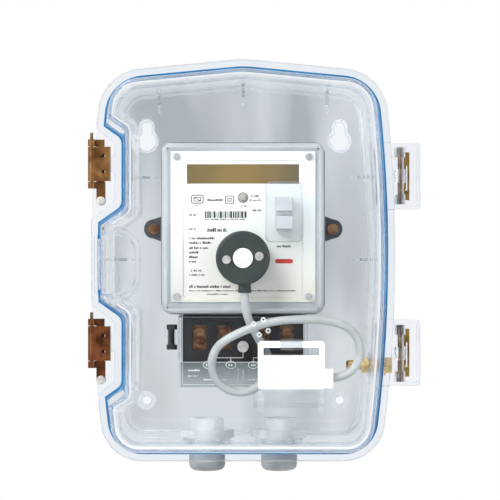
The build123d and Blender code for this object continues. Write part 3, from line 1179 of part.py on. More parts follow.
# Clear terminal cover, open behind and below, with eyelets and a barrel for the sealing spindle
COVER_SIDE_X = TERMINAL_COVER_WIDTH / 2
with BuildPart() as terminal_cover:
    with BuildSketch(at_depth(COVER_INNER_FRONT)):
        with Locations((0, TERMINAL_COVER_TOP)):
            Rectangle(
                TERMINAL_COVER_WIDTH, TERMINAL_COVER_TOP - TERMINAL_COVER_BOTTOM,
                align=(Align.CENTER, Align.MAX),
            )
    extrude(amount=TERMINAL_COVER_WALL)
    with BuildSketch(at_depth(TERMINAL_COVER_BACK)):
        for side in (-1, 1):
            with Locations((side * (COVER_SIDE_X - TERMINAL_COVER_WALL / 2), TERMINAL_COVER_TOP)):
                Rectangle(
                    TERMINAL_COVER_WALL, TERMINAL_COVER_TOP - TERMINAL_COVER_BOTTOM,
                    align=(Align.CENTER, Align.MAX),
                )
    extrude(amount=COVER_INNER_FRONT - TERMINAL_COVER_BACK)
    with BuildSketch(at_depth(BLOCK_FRONT_DEPTH + COVER_BLOCK_GAP)):
        with Locations((0, TERMINAL_COVER_TOP)):
            Rectangle(TERMINAL_COVER_WIDTH, TERMINAL_COVER_WALL, align=(Align.CENTER, Align.MAX))
    extrude(amount=COVER_INNER_FRONT - BLOCK_FRONT_DEPTH - COVER_BLOCK_GAP)
    with BuildSketch(at_depth(TERMINAL_COVER_FRONT)):
        with Locations(*[(across, TERMINAL_COVER_TOP - drop) for across, drop in EYELETS]):
            Circle(EYELET_RADIUS)
            Circle(EYELET_BORE, mode=Mode.SUBTRACT)
    extrude(amount=EYELET_HEIGHT)
    with BuildSketch(Plane.XY.offset(BARREL_BOTTOM)):
        with Locations((SPINDLE_X, -SPINDLE_DEPTH)):
            Circle(BARREL_RADIUS)
            Rectangle(-SPINDLE_X - COVER_SIDE_X + BARREL_ROOT, BARREL_WEB, align=(Align.MIN, Align.CENTER))
            Circle(SPINDLE_RADIUS, mode=Mode.SUBTRACT)
    extrude(amount=BARREL_TOP - BARREL_BOTTOM)
    with BuildSketch(at_depth(TERMINAL_COVER_FRONT)):
        with Locations((0, COVER_SCREW_HEIGHT)):
            Circle(COVER_SCREW_RADIUS + COVER_SCREW_CLEARANCE)
    extrude(amount=-TERMINAL_COVER_WALL, mode=Mode.SUBTRACT)
write(terminal_cover, "terminal_cover")

with BuildPart() as terminal_cover_screw:
    with BuildSketch(at_depth(COVER_INNER_FRONT - COVER_SCREW_SHANK)):
        with Locations((0, COVER_SCREW_HEIGHT)):
            Circle(COVER_SCREW_RADIUS)
    extrude(amount=COVER_SCREW_SHANK + TERMINAL_COVER_WALL)
    with BuildSketch(at_depth(TERMINAL_COVER_FRONT)):
        with Locations((0, COVER_SCREW_HEIGHT)):
            Circle(COVER_SCREW_HEAD_RADIUS)
    extrude(amount=COVER_SCREW_HEAD_HEIGHT)
write(terminal_cover_screw, "terminal_cover_screw")

with BuildPart() as sealing_spindle:
    with BuildSketch(Plane.XY.offset(BARREL_BOTTOM - SPINDLE_COLLAR_LENGTH)):
        with Locations((SPINDLE_X, -SPINDLE_DEPTH)):
            Circle(SPINDLE_RADIUS)
    extrude(amount=BARREL_TOP - BARREL_BOTTOM + 2 * SPINDLE_COLLAR_LENGTH)
    for start in (BARREL_TOP, BARREL_BOTTOM - SPINDLE_COLLAR_LENGTH):
        with BuildSketch(Plane.XY.offset(start)):
            with Locations((SPINDLE_X, -SPINDLE_DEPTH)):
                Circle(SPINDLE_COLLAR_RADIUS)
        extrude(amount=SPINDLE_COLLAR_LENGTH)
write(sealing_spindle, "sealing_spindle")

# Black optical head with a cable boss below
HEAD_FRONT = METER_FRONT_DEPTH + HEAD_THICKNESS
with BuildPart() as reading_head:
    with BuildSketch(at_depth(METER_FRONT_DEPTH)):
        with Locations((0, HEAD_CENTRE)):
            Circle(HEAD_RADIUS)
    extrude(amount=HEAD_THICKNESS)
    fillet(reading_head.faces().sort_by(Axis.Y)[0].edges(), HEAD_ROUND)
    with BuildSketch(Plane.XY.offset(CABLE_BOSS_END)):
        with Locations((CABLE_EXIT_X, -CABLE_EXIT_DEPTH)):
            Circle(CABLE_BOSS_RADIUS)
    extrude(amount=HEAD_CENTRE - CABLE_BOSS_END - HEAD_RADIUS / 2)
    with BuildSketch(at_depth(HEAD_FRONT)):
        with Locations(*HEAD_SCREWS):
            Circle(HEAD_SCREW_RADIUS)
    extrude(amount=-HEAD_SCREW_HOLE, mode=Mode.SUBTRACT)
write(reading_head, "reading_head")

with BuildPart() as head_screws:
    with BuildSketch(at_depth(HEAD_FRONT - HEAD_SCREW_SHANK)):
        with Locations(*HEAD_SCREWS):
            Circle(HEAD_SCREW_RADIUS)
    extrude(amount=HEAD_SCREW_SHANK)
    with BuildSketch(at_depth(HEAD_FRONT)):
        with Locations(*HEAD_SCREWS):
            Circle(HEAD_SCREW_HEAD_RADIUS)
    extrude(amount=HEAD_SCREW_HEAD_HEIGHT)
    with BuildSketch(at_depth(HEAD_FRONT + HEAD_SCREW_HEAD_HEIGHT)):
        with Locations(*HEAD_SCREWS):
            Rectangle(CROSS_LENGTH, CROSS_WIDTH)
            Rectangle(CROSS_WIDTH, CROSS_LENGTH)
    extrude(amount=-CROSS_DEPTH, mode=Mode.SUBTRACT)
write(head_screws, "head_screws")

with BuildPart() as head_disc:
    with BuildSketch(at_depth(HEAD_FRONT)):
        with Locations((0, HEAD_CENTRE)):
            Circle(HEAD_DISC_RADIUS)
    extrude(amount=HEAD_DISC_THICKNESS)
write(head_disc, "head_disc")

# Cable from the head, round one loop, into the side of the socket box: x, depth, height
CABLE_ROUTE = (
    (CABLE_EXIT_X, CABLE_EXIT_DEPTH, CABLE_BOSS_END),
    (CABLE_EXIT_X, CABLE_EXIT_DEPTH, -30.5),
    (8.0, 58.9, -45.0),
    (16.6, 56.5, -58.8),
    (13.6, 55.5, -72.6),
    (1.7, 56.0, -80.1),
    (-12.1, 58.0, -77.1),
    (-19.6, 61.0, -65.2),
    (-16.6, 65.0, -51.4),
    (-4.0, 69.5, -43.5),
    (14.0, 70.5, -36.5),
    (36.0, 70.5, -34.5),
    (59.5, 70.0, -36.9),
    (69.3, 69.0, -46.7),
    (69.3, 68.0, -60.5),
    (59.5, CABLE_ENTRY_DEPTH, CABLE_ENTRY_HEIGHT),
    (CABLE_END_X, CABLE_ENTRY_DEPTH, CABLE_ENTRY_HEIGHT),
)
CABLE_POINTS = [Vector(across, -depth, height) for across, depth, height in CABLE_ROUTE]
CABLE_RADII = []
for before, here, after in zip(CABLE_POINTS, CABLE_POINTS[1:], CABLE_POINTS[2:]):
    turn = math.radians((here - before).get_angle(after - here))
    run = min((here - before).length, (after - here).length)
    CABLE_RADII.append(0.45 * run / math.tan(turn / 2))
print("cable radii", [round(radius, 1) for radius in CABLE_RADII])
with BuildPart() as reading_cable:
    with BuildLine() as route:
        FilletPolyline(*CABLE_POINTS, radius=CABLE_RADII)
    with BuildSketch(Plane(origin=CABLE_POINTS[0], z_dir=CABLE_POINTS[1] - CABLE_POINTS[0])):
        Circle(CABLE_RADIUS)
    sweep(path=route.wires()[0])
CABLE_LENGTH = route.wires()[0].length
print("cable length", round(CABLE_LENGTH, 1))
print("cable volume ratio", reading_cable.part.volume / (math.pi * CABLE_RADIUS**2 * CABLE_LENGTH))
write(reading_cable, "reading_cable")

# White socket box with a through slot and a side tab that takes the cable
SOCKET_MIDDLE = ((SOCKET_LEFT + SOCKET_RIGHT) / 2, (SOCKET_TOP + SOCKET_BOTTOM) / 2)
with BuildPart() as socket_box:
    with BuildSketch(at_depth(SOCKET_BACK_DEPTH)):
        with Locations(SOCKET_MIDDLE):
            RectangleRounded(SOCKET_RIGHT - SOCKET_LEFT, SOCKET_TOP - SOCKET_BOTTOM, SOCKET_RADIUS)
        with Locations((SOCKET_MIDDLE[0], (SOCKET_SLOT_TOP + SOCKET_SLOT_BOTTOM) / 2)):
            Rectangle(
                SOCKET_RIGHT - SOCKET_LEFT - 2 * SOCKET_SLOT_MARGIN,
                SOCKET_SLOT_TOP - SOCKET_SLOT_BOTTOM,
                mode=Mode.SUBTRACT,
            )
    extrude(amount=SOCKET_FRONT_DEPTH - SOCKET_BACK_DEPTH)
    with BuildSketch(at_depth(SOCKET_BACK_DEPTH + SOCKET_TAB_SETBACK)):
        with Locations((SOCKET_TAB_RIGHT, (SOCKET_TAB_TOP + SOCKET_TAB_BOTTOM) / 2)):
            Rectangle(
                SOCKET_TAB_RIGHT - SOCKET_RIGHT + SOCKET_TAB_ROOT, SOCKET_TAB_TOP - SOCKET_TAB_BOTTOM,
                align=(Align.MAX, Align.CENTER),
            )
    extrude(amount=SOCKET_FRONT_DEPTH - SOCKET_TAB_FRONT_SETBACK - SOCKET_BACK_DEPTH - SOCKET_TAB_SETBACK)
    with BuildSketch(Plane.YZ.offset(CABLE_END_X)):
        with Locations((-CABLE_ENTRY_DEPTH, CABLE_ENTRY_HEIGHT)):
            Circle(CABLE_RADIUS + CABLE_ENTRY_CLEARANCE)
    extrude(amount=SOCKET_TAB_RIGHT - CABLE_END_X, mode=Mode.SUBTRACT)
write(socket_box, "socket_box")

with BuildPart() as socket_clip:
    with BuildSketch(Plane.YZ.offset(CLIP_LEFT)):
        with Locations(
            (-(SOCKET_BACK_DEPTH + SOCKET_FRONT_DEPTH) / 2, (SOCKET_TOP + SOCKET_SLOT_TOP) / 2)
        ):
            Rectangle(
                SOCKET_FRONT_DEPTH - SOCKET_BACK_DEPTH + 2 * CLIP_WALL,
                SOCKET_TOP - SOCKET_SLOT_TOP + 2 * CLIP_WALL,
            )
            Rectangle(
                SOCKET_FRONT_DEPTH - SOCKET_BACK_DEPTH, SOCKET_TOP - SOCKET_SLOT_TOP, mode=Mode.SUBTRACT
            )
    extrude(amount=CLIP_RIGHT - CLIP_LEFT)
write(socket_clip, "socket_clip")

with BuildPart() as socket_bracket:
    with BuildSketch(at_depth(WALL)):
        with Locations((sum(BRACKET_LEG_XS) / 2, (BRACKET_LEG_TOP + BRACKET_LEG_BOTTOM) / 2)):
            Rectangle(
                BRACKET_LEG_XS[1] - BRACKET_LEG_XS[0] + 2 * BRACKET_LEG_WIDTH,
                BRACKET_LEG_HEIGHT + 2 * BRACKET_PLATE_MARGIN,
            )
    extrude(amount=BRACKET_PLATE)
    with BuildSketch(at_depth(WALL)):
        for across in BRACKET_LEG_XS:
            with Locations((across, BRACKET_LEG_TOP)):
                Rectangle(
                    BRACKET_LEG_WIDTH, BRACKET_LEG_TOP - BRACKET_LEG_BOTTOM, align=(Align.CENTER, Align.MAX)
                )
    extrude(amount=SOCKET_FRONT_DEPTH - WALL)
    with BuildSketch(at_depth(SOCKET_BACK_DEPTH)):
        for across in BRACKET_LEG_XS:
            with Locations((across, BRACKET_LEG_TOP)):
                Rectangle(
                    BRACKET_LEG_WIDTH, SOCKET_BOTTOM - BRACKET_LEG_TOP, align=(Align.CENTER, Align.MIN)
                )
    extrude(amount=SOCKET_FRONT_DEPTH - SOCKET_BACK_DEPTH)
write(socket_bracket, "socket_bracket")


def cable_gland(name, across):
    """Grey gland: rounded nose and shoulder below the wall, threaded tube through it, open bore."""
    with BuildPart() as gland:
        with BuildSketch(Plane.XY.offset(GLAND_NOSE_Z)):
            with Locations((across, -GLAND_DEPTH)):
                Circle(GLAND_BODY_RADIUS)
        extrude(amount=GLAND_SEAT_Z - GLAND_NOSE_Z)
        fillet(gland.faces().sort_by(Axis.Z)[0].edges(), GLAND_NOSE_RADIUS)
        with BuildSketch(Plane.XY.offset(GLAND_SEAT_Z)):
            with Locations((across, -GLAND_DEPTH)):
                Circle(GLAND_THREAD_RADIUS)
        extrude(amount=GLAND_THREAD_END - GLAND_SEAT_Z)
        with BuildSketch(Plane.XY.offset(GLAND_NOSE_Z)):
            with Locations((across, -GLAND_DEPTH)):
                Circle(GLAND_BORE_RADIUS)
        extrude(amount=GLAND_THREAD_END - GLAND_NOSE_Z, mode=Mode.SUBTRACT)
    write(gland, name)


def gland_nut(name, across):
    """Hexagon lock nut on the gland's thread, against the inside of the bottom wall."""
    with BuildPart() as nut:
        with BuildSketch(Plane.XY.offset(GLAND_INNER_SEAT_Z)):
            with Locations((across, -GLAND_DEPTH)):
                RegularPolygon(GLAND_NUT_RADIUS, 6)
                Circle(GLAND_THREAD_RADIUS, mode=Mode.SUBTRACT)
        extrude(amount=GLAND_NUT_HEIGHT)
    write(nut, name)


for side, across in (("left", -GLAND_X), ("right", GLAND_X)):
    cable_gland(f"{side}_cable_gland", across)
    gland_nut(f"{side}_gland_nut", across)

# Brass bolt through the right wall with a washer outside and a nut inside
BOLT_HEAD_SEAT = SIDE_BOLT_OUTER_SEAT + SIDE_BOLT_WASHER_THICKNESS
with BuildPart() as side_bolt:
    with BuildSketch(Plane.YZ.offset(SIDE_BOLT_END)):
        with Locations((-SIDE_BOLT_DEPTH, SIDE_BOLT_HEIGHT)):
            Circle(SIDE_BOLT_RADIUS)
    extrude(amount=BOLT_HEAD_SEAT - SIDE_BOLT_END)
    chamfer(side_bolt.faces().sort_by(Axis.X)[0].edges(), SIDE_BOLT_CHAMFER)
    with BuildSketch(Plane.YZ.offset(BOLT_HEAD_SEAT)):
        with Locations((-SIDE_BOLT_DEPTH, SIDE_BOLT_HEIGHT)):
            RegularPolygon(SIDE_BOLT_HEAD_RADIUS, 6)
    extrude(amount=SIDE_BOLT_HEAD_HEIGHT)
write(side_bolt, "side_bolt")

with BuildPart() as side_bolt_washer:
    with BuildSketch(Plane.YZ.offset(SIDE_BOLT_OUTER_SEAT)):
        with Locations((-SIDE_BOLT_DEPTH, SIDE_BOLT_HEIGHT)):
            Circle(SIDE_BOLT_WASHER_RADIUS)
            Circle(SIDE_BOLT_RADIUS + SIDE_BOLT_CLEARANCE, mode=Mode.SUBTRACT)
    extrude(amount=SIDE_BOLT_WASHER_THICKNESS)
write(side_bolt_washer, "side_bolt_washer")

with BuildPart() as side_bolt_nut:
    with BuildSketch(Plane.YZ.offset(SIDE_BOLT_INNER_SEAT - SIDE_BOLT_NUT_HEIGHT)):
        with Locations((-SIDE_BOLT_DEPTH, SIDE_BOLT_HEIGHT)):
            RegularPolygon(SIDE_BOLT_HEAD_RADIUS, 6)
            Circle(SIDE_BOLT_RADIUS, mode=Mode.SUBTRACT)
    extrude(amount=SIDE_BOLT_NUT_HEIGHT)
write(side_bolt_nut, "side_bolt_nut")
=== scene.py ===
import json
import math
import random

import bmesh
import bpy
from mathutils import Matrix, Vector


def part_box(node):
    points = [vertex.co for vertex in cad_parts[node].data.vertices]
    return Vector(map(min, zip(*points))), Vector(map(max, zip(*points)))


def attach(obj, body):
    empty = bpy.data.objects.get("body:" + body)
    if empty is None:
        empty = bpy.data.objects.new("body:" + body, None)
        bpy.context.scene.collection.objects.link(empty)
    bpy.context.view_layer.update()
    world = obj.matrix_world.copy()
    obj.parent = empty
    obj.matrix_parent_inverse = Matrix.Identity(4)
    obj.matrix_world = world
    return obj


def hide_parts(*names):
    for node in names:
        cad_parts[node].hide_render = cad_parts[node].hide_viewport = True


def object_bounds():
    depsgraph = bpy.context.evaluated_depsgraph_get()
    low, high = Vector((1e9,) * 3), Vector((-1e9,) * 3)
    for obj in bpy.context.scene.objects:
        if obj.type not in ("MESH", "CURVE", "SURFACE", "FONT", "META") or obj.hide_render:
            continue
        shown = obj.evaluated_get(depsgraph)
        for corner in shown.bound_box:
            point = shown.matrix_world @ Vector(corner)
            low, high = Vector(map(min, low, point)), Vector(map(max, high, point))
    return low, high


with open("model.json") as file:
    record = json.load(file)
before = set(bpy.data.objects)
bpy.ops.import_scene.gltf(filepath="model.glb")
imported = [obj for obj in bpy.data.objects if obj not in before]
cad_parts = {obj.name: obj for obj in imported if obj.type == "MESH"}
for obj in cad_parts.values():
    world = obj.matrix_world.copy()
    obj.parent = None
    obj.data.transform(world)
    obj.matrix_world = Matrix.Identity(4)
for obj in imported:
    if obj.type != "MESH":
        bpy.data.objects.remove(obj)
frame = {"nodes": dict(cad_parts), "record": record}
cad_low, cad_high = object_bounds()
nodes = frame["nodes"]
scene = bpy.context.scene

MM = 0.001

# Camera: the photograph looks straight at the cover, and its frame is 300 mm wide at the rim
CAMERA_PLACE = (0.0042, -1.3, 0.006)
FRAME_WIDTH = 0.300
RIM_Y = -0.052
SENSOR_MM = 36.0


# Places on the CAD nodes, in millimetres

def front_depth(node):
    """How far the front of a node stands before the back of the box."""
    return -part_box(node)[0].y / MM


def front_view(node, inset):
    """The left and right sides and the bottom and top of a node, all moved inwards by the inset."""
    low, high = (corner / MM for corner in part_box(node))
    return (low.x + inset, high.x - inset), (low.z + inset, high.z - inset)


# Depths of the printed faces; two of them lie behind a raised frame and behind eyelets
FACE_FRAME_RISE = 0.8
EYELET_RISE = 1.0
FACE_DEPTH = front_depth("meter_face") - FACE_FRAME_RISE
TERMINAL_COVER_DEPTH = front_depth("terminal_cover") - EYELET_RISE
HEAD_DISC_DEPTH = front_depth("head_disc")
COVER_DEPTH = front_depth("front_cover")

# Rectangles of the front view: the raised frame on the meter's face, the outside of the meter's cover,
# the inside of its rim of painted dark shade, the inside of its milky walls painted grey as shade, and the
# hood below the terminals
FACE_FRAME = ((-43.4, 43.4), (-25.3, 65.3))
METER_OUTLINE = front_view("meter_cover", -1.0)
METER_EDGE = front_view("meter_cover", 1.7)
METER_WINDOW = front_view("meter_cover", 4.5)
TERMINAL_HOOD = ((-37.6, 37.6), (-77.0, -61.6))

# Where looks change along an axis: each pair is the place where a share is 0 and the place where it is 1
BOSS_FOOT = (-3.6, -4.2)
BOSS_TOP = (-6.2, -5.6)
TRAY_BACK_TO_RIM = (-5.0, -16.0)
HOOD_TOP_TO_BOTTOM = (-62.0, -76.0)
FITTINGS_TOP_TO_BOTTOM = (-68.0, -74.0)
LATCH_TOP_TO_BOTTOM = (20.0, -20.0)
GLAND_INSIDE = (-117.5, -116.5)
DISPLAY_ENDS = (-34.0, 34.0)
FACE_PAINTED_SHADE = (45.0, -20.0)


# Materials

# Display colours of 0 to 255, and a weak glare that keeps black parts black behind the clear covers
CLEAR_PALE = (252, 253, 254)
CLEAR_TINT = (246, 249, 252)
FAINT_GLARE = (0.2, 0.2, 0.2, 1.0)

# Most of a noise lies between these two values
NOISE_LOW = 0.3
NOISE_HIGH = 0.7

# The y of a surface's normal where it counts as a side, and where it counts as looking forward
SIDE_NORMAL = -0.15
FORWARD_NORMAL = -0.40

# Heights of the relief in a surface and widths of its rounded edges, in metres
RIPPLE_HEIGHT = 0.00025
GRAIN_HEIGHT = 0.00004
LINE_HEIGHT = 0.00003
FACE_GRAIN_HEIGHT = 0.00002
CLEAR_EDGE = 0.0008
WINDOW_EDGE = 0.0006
FITTING_EDGE = 0.0012
PLASTIC_EDGE = 0.0003
METAL_EDGE = 0.00025

# Sockets of a Mix node for colours, whose names repeat for each kind of data
MIX_FIRST = 6
MIX_SECOND = 7
MIX_RESULT = 2

# Directions in which drawn lines are stretched
DRAWN_ALONG_Z = (1, 1, 0.06)
DRAWN_ALONG_Y = (1, 0.06, 1)

materials = {}


def linear(red, green, blue):
    """A display colour as the linear colour that shaders take."""
    def channel(value):
        value /= 255
        return value / 12.92 if value <= 0.04045 else ((value + 0.055) / 1.055) ** 2.4
    return channel(red), channel(green), channel(blue), 1.0


def fill_ramp(ramp, stops):
    """Put stops, each a position and a display colour, into a colour ramp."""
    elements = ramp.color_ramp.elements
    while len(elements) < len(stops):
        elements.new(0.5)
    for element, (position, colour) in zip(elements, stops):
        element.position = position
        element.color = linear(*colour)


def split_by_ray(tree, ray, others, chosen, output):
    """Show one shader to rays of one kind, and another shader to all other rays."""
    path = tree.nodes.new("ShaderNodeLightPath")
    mix = tree.nodes.new("ShaderNodeMixShader")
    tree.links.new(path.outputs[ray], mix.inputs[0])
    tree.links.new(others, mix.inputs[1])
    tree.links.new(chosen, mix.inputs[2])
    tree.links.new(mix.outputs["Shader"], output.inputs["Surface"])


class Shader:
    """A material with one Principled shader, and the node helpers that its finish needs."""

    def __init__(self, name):
        self.material = bpy.data.materials.new(name)
        self.material.use_nodes = True
        self.tree = self.material.node_tree
        self.tree.nodes.clear()
        self.output = self.node("ShaderNodeOutputMaterial")
        self.surface = self.node("ShaderNodeBsdfPrincipled")
        self.link(self.surface.outputs["BSDF"], self.output.inputs["Surface"])
        self.place = self.node("ShaderNodeTexCoord").outputs["Object"]
        materials[name] = self.material

    def node(self, kind):
        return self.tree.nodes.new(kind)

    def link(self, source, target):
        self.tree.links.new(source, target)

    def feed(self, source, socket):
        self.link(source, self.surface.inputs[socket])

    def set(self, **sockets):
        for name, value in sockets.items():
            self.surface.inputs[name.replace("_", " ")].default_value = value

    # Values from 0 to 1

    def noise(self, scale, detail=3.0, stretch=(1, 1, 1), distortion=0.0):
        mapping = self.node("ShaderNodeMapping")
        mapping.inputs["Scale"].default_value = stretch
        self.link(self.place, mapping.inputs["Vector"])
        noise = self.node("ShaderNodeTexNoise")
        noise.inputs["Scale"].default_value = scale
        noise.inputs["Detail"].default_value = detail
        noise.inputs["Distortion"].default_value = distortion
        self.link(mapping.outputs["Vector"], noise.inputs["Vector"])
        return noise.outputs["Fac"]

    def ranged(self, value, low, high, to_low=0.0, to_high=1.0):
        spread = self.node("ShaderNodeMapRange")
        numbers = {"From Min": low, "From Max": high, "To Min": to_low, "To Max": to_high}
        for name, number in numbers.items():
            spread.inputs[name].default_value = number
        self.link(value, spread.inputs["Value"])
        return spread.outputs["Result"]

    def axis(self, vector, name):
        split = self.node("ShaderNodeSeparateXYZ")
        self.link(vector, split.inputs["Vector"])
        return split.outputs[name]

    def along(self, axis, start, end):
        """A value from 0 to 1 as the place goes from start to end along an axis, in millimetres."""
        return self.ranged(self.axis(self.place, axis), start * MM, end * MM)

    def within(self, across, upright):
        """1 inside a rectangle of the front view and 0 outside it; its sides are in millimetres."""
        edge = 0.1
        share = None
        for axis, (low, high) in (("X", across), ("Z", upright)):
            for start, end in ((low - edge, low + edge), (high + edge, high - edge)):
                side = self.along(axis, start, end)
                share = self.combined("MULTIPLY", share, side) if share else side
        return share

    def ahead(self):
        """1 where the surface looks forward, also at rounded edges, and 0 on the sides."""
        normal = self.node("ShaderNodeNewGeometry").outputs["Normal"]
        return self.ranged(self.axis(normal, "Y"), SIDE_NORMAL, FORWARD_NORMAL)

    def combined(self, operation, first, second):
        node = self.node("ShaderNodeMath")
        node.operation = operation
        self.link(first, node.inputs[0])
        self.link(second, node.inputs[1])
        return node.outputs["Value"]

    # Colours

    def ramp(self, value, stops):
        ramp = self.node("ShaderNodeValToRGB")
        fill_ramp(ramp, stops)
        self.link(value, ramp.inputs["Fac"])
        return ramp.outputs["Color"]

    def tones(self, value, first, second, low=NOISE_LOW, high=NOISE_HIGH):
        """A colour that goes from the first to the second as a value goes from low to high."""
        return self.ramp(value, [(low, first), (high, second)])

    def mixed(self, share, first, second):
        mix = self.node("ShaderNodeMix")
        mix.data_type = "RGBA"
        self.link(share, mix.inputs["Factor"])
        self.link(first, mix.inputs[MIX_FIRST])
        self.link(second, mix.inputs[MIX_SECOND])
        return mix.outputs[MIX_RESULT]

    # Finishes

    def roughness(self, value, smooth, rough):
        self.feed(self.ranged(value, NOISE_LOW, NOISE_HIGH, smooth, rough), "Roughness")

    def bump(self, value, height, strength, edge):
        """Relief from a value over edges that are rounded."""
        rounded = self.node("ShaderNodeBevel")
        rounded.samples = 4
        rounded.inputs["Radius"].default_value = edge
        bump = self.node("ShaderNodeBump")
        bump.inputs["Strength"].default_value = strength
        bump.inputs["Distance"].default_value = height
        self.link(value, bump.inputs["Height"])
        self.link(rounded.outputs["Normal"], bump.inputs["Normal"])
        self.feed(bump.outputs["Normal"], "Normal")

    def rippled(self, smooth, rough, ripple, edge):
        """The uneven gloss, the soft waves and the rounded edges of a moulded clear surface."""
        self.roughness(self.noise(40), smooth, rough)
        self.bump(self.noise(55, detail=1.0), RIPPLE_HEIGHT, ripple, edge)

    def grained(self, smooth, rough, patch=60, grain=2600):
        """The uneven gloss, the fine grain and the rounded edges of opaque plastic and rubber."""
        self.roughness(self.noise(patch * 4), smooth, rough)
        self.bump(self.noise(grain, detail=2.0), GRAIN_HEIGHT, 0.5, PLASTIC_EDGE)

    def drawn(self, smooth, rough, stretch, bare=1.0):
        """The drawn lines and the rounded edges of metal; bare is the share that mirrors as metal does."""
        lines = self.noise(900, detail=2.0, stretch=stretch)
        self.roughness(lines, smooth, rough)
        self.bump(lines, LINE_HEIGHT, 0.4, METAL_EDGE)
        self.set(Metallic=bare)

    def lamps_pass(self, tint):
        """Lamp light goes through the clear wall, with the wall's tint, and lights what is behind it."""
        clear = self.node("ShaderNodeBsdfTransparent")
        clear.inputs["Color"].default_value = linear(*tint)
        wall = self.surface.outputs["BSDF"]
        split_by_ray(self.tree, "Is Shadow Ray", wall, clear.outputs["BSDF"], self.output)


def cover_plastic():
    """The clear front cover: faint cloudiness in its tint, soft ripples in its surface."""
    shader = Shader("clear_cover")
    clouds = shader.noise(14, detail=2.0)
    shader.feed(shader.tones(clouds, CLEAR_PALE, CLEAR_TINT, low=0.35), "Base Color")
    shader.rippled(0.0, 0.02, 0.10, CLEAR_EDGE)
    shader.set(Transmission_Weight=1.0, IOR=1.46, Specular_Tint=FAINT_GLARE)
    shader.lamps_pass(CLEAR_PALE)


def tray_plastic():
    """The clear tray: grey and cloudy in its back, partly the plastic's tint and partly painted shade; milky
    on the low bosses there, partly thicker plastic and partly painted highlight on their rims; and clear at
    its rim.
    """
    shader = Shader("clear_tray")
    clouds = shader.noise(16, detail=2.0, stretch=(1, 1, 0.3), distortion=0.4)
    # The back's grey is partly the plastic's tint and partly painted shade.
    back = shader.tones(clouds, (184, 188, 193), (226, 229, 232), low=0.41, high=0.60)
    rim = shader.tones(clouds, (251, 252, 254), (244, 247, 250), low=0.35)
    # The bosses' paler, milky tone is partly thicker plastic and partly painted highlight on their rims.
    milky_with_painted_light = shader.tones(clouds, (216, 220, 223), (236, 238, 240), low=0.35)
    bosses = shader.combined("MULTIPLY", shader.along("Y", *BOSS_FOOT), shader.along("Y", *BOSS_TOP))
    plain = shader.mixed(shader.along("Y", *TRAY_BACK_TO_RIM), back, rim)
    shader.feed(shader.mixed(bosses, plain, milky_with_painted_light), "Base Color")
    shader.rippled(0.0, 0.05, 0.35, CLEAR_EDGE)
    shader.feed(shader.ranged(bosses, 0.0, 1.0, 1.0, 0.64), "Transmission Weight")
    shader.set(IOR=1.46)
    shader.lamps_pass(CLEAR_TINT)


def window_plastic():
    """The meter's clear covers: clear windows, milky walls whose grey is painted shade, a dark rim of
    painted shade on their front, and a hood at the bottom that is darker towards its top.
    """
    shader = Shader("clear_inner")
    clouds = shader.noise(14, detail=2.0)
    window = shader.tones(clouds, (250, 251, 252), (243, 246, 248), low=0.35)
    # The walls are milky, and their grey is painted shade.
    milky_with_painted_light = shader.tones(clouds, (184, 188, 190), (206, 209, 211), low=0.35)
    # A dark rim of painted shade along the rounded front of the walls.
    dark = shader.tones(clouds, (84, 90, 93), (118, 123, 126), low=0.35)
    # The hood is darker towards its top.
    hood_tone = shader.tones(shader.along("Z", *HOOD_TOP_TO_BOTTOM), (136, 144, 144), (206, 211, 213), 0.0, 1.0)
    outline = shader.within(*METER_OUTLINE)
    walls = shader.combined("SUBTRACT", outline, shader.within(*METER_WINDOW))
    edge = shader.combined("SUBTRACT", outline, shader.within(*METER_EDGE))
    # The rim's painted shade lies on the outer band of the walls where it looks forward.
    rim = shader.combined("MULTIPLY", edge, shader.ahead())
    plain = shader.mixed(shader.within(*TERMINAL_HOOD), window, hood_tone)
    shader.feed(shader.mixed(walls, plain, shader.mixed(rim, milky_with_painted_light, dark)), "Base Color")
    shader.rippled(0.0, 0.03, 0.15, WINDOW_EDGE)
    shader.feed(shader.ranged(walls, 0.0, 1.0, 1.0, 0.40), "Transmission Weight")
    shader.set(IOR=1.30, Specular_Tint=FAINT_GLARE)
    shader.lamps_pass(CLEAR_TINT)


def fitting_plastic():
    """Small clear fittings: see-through face on, grey where they turn away, which is painted shade, and
    whiter low in the box.
    """
    shader = Shader("clear_fitting")
    clouds = shader.noise(90)
    # The grey of these tones is painted shade on the turned-away edges, darker in the upper fittings.
    upper = shader.tones(clouds, (112, 119, 125), (166, 172, 177))
    lower = shader.tones(clouds, (184, 189, 192), (224, 227, 229))
    shader.feed(shader.mixed(shader.along("Z", *FITTINGS_TOP_TO_BOTTOM), upper, lower), "Base Color")
    shader.rippled(0.04, 0.14, 0.3, FITTING_EDGE)
    facing = shader.node("ShaderNodeLayerWeight")
    facing.inputs["Blend"].default_value = 0.5
    shader.feed(shader.ranged(facing.outputs["Facing"], 0.0, 0.8, 0.15, 1.0), "Alpha")
    shader.set(Coat_Weight=1.0, Coat_Roughness=0.03)
    shader.lamps_pass(CLEAR_TINT)


def moulded(name, dark, light, smooth, rough, patch=60, grain=2600):
    """Opaque moulded plastic, rubber, paper or print with a fine grain."""
    shader = Shader(name)
    shader.feed(shader.tones(shader.noise(patch), dark, light, high=0.72), "Base Color")
    shader.grained(smooth, rough, patch, grain)


def metal(name, dark, light, smooth, rough, patch, stretch=(1, 1, 1), bare=1.0):
    """Bare or passivated metal with patches of tone and drawn lines."""
    shader = Shader(name)
    patches = shader.noise(patch, detail=4.0, distortion=0.6)
    shader.feed(shader.tones(patches, dark, light, high=0.68), "Base Color")
    shader.drawn(smooth, rough, stretch, bare)


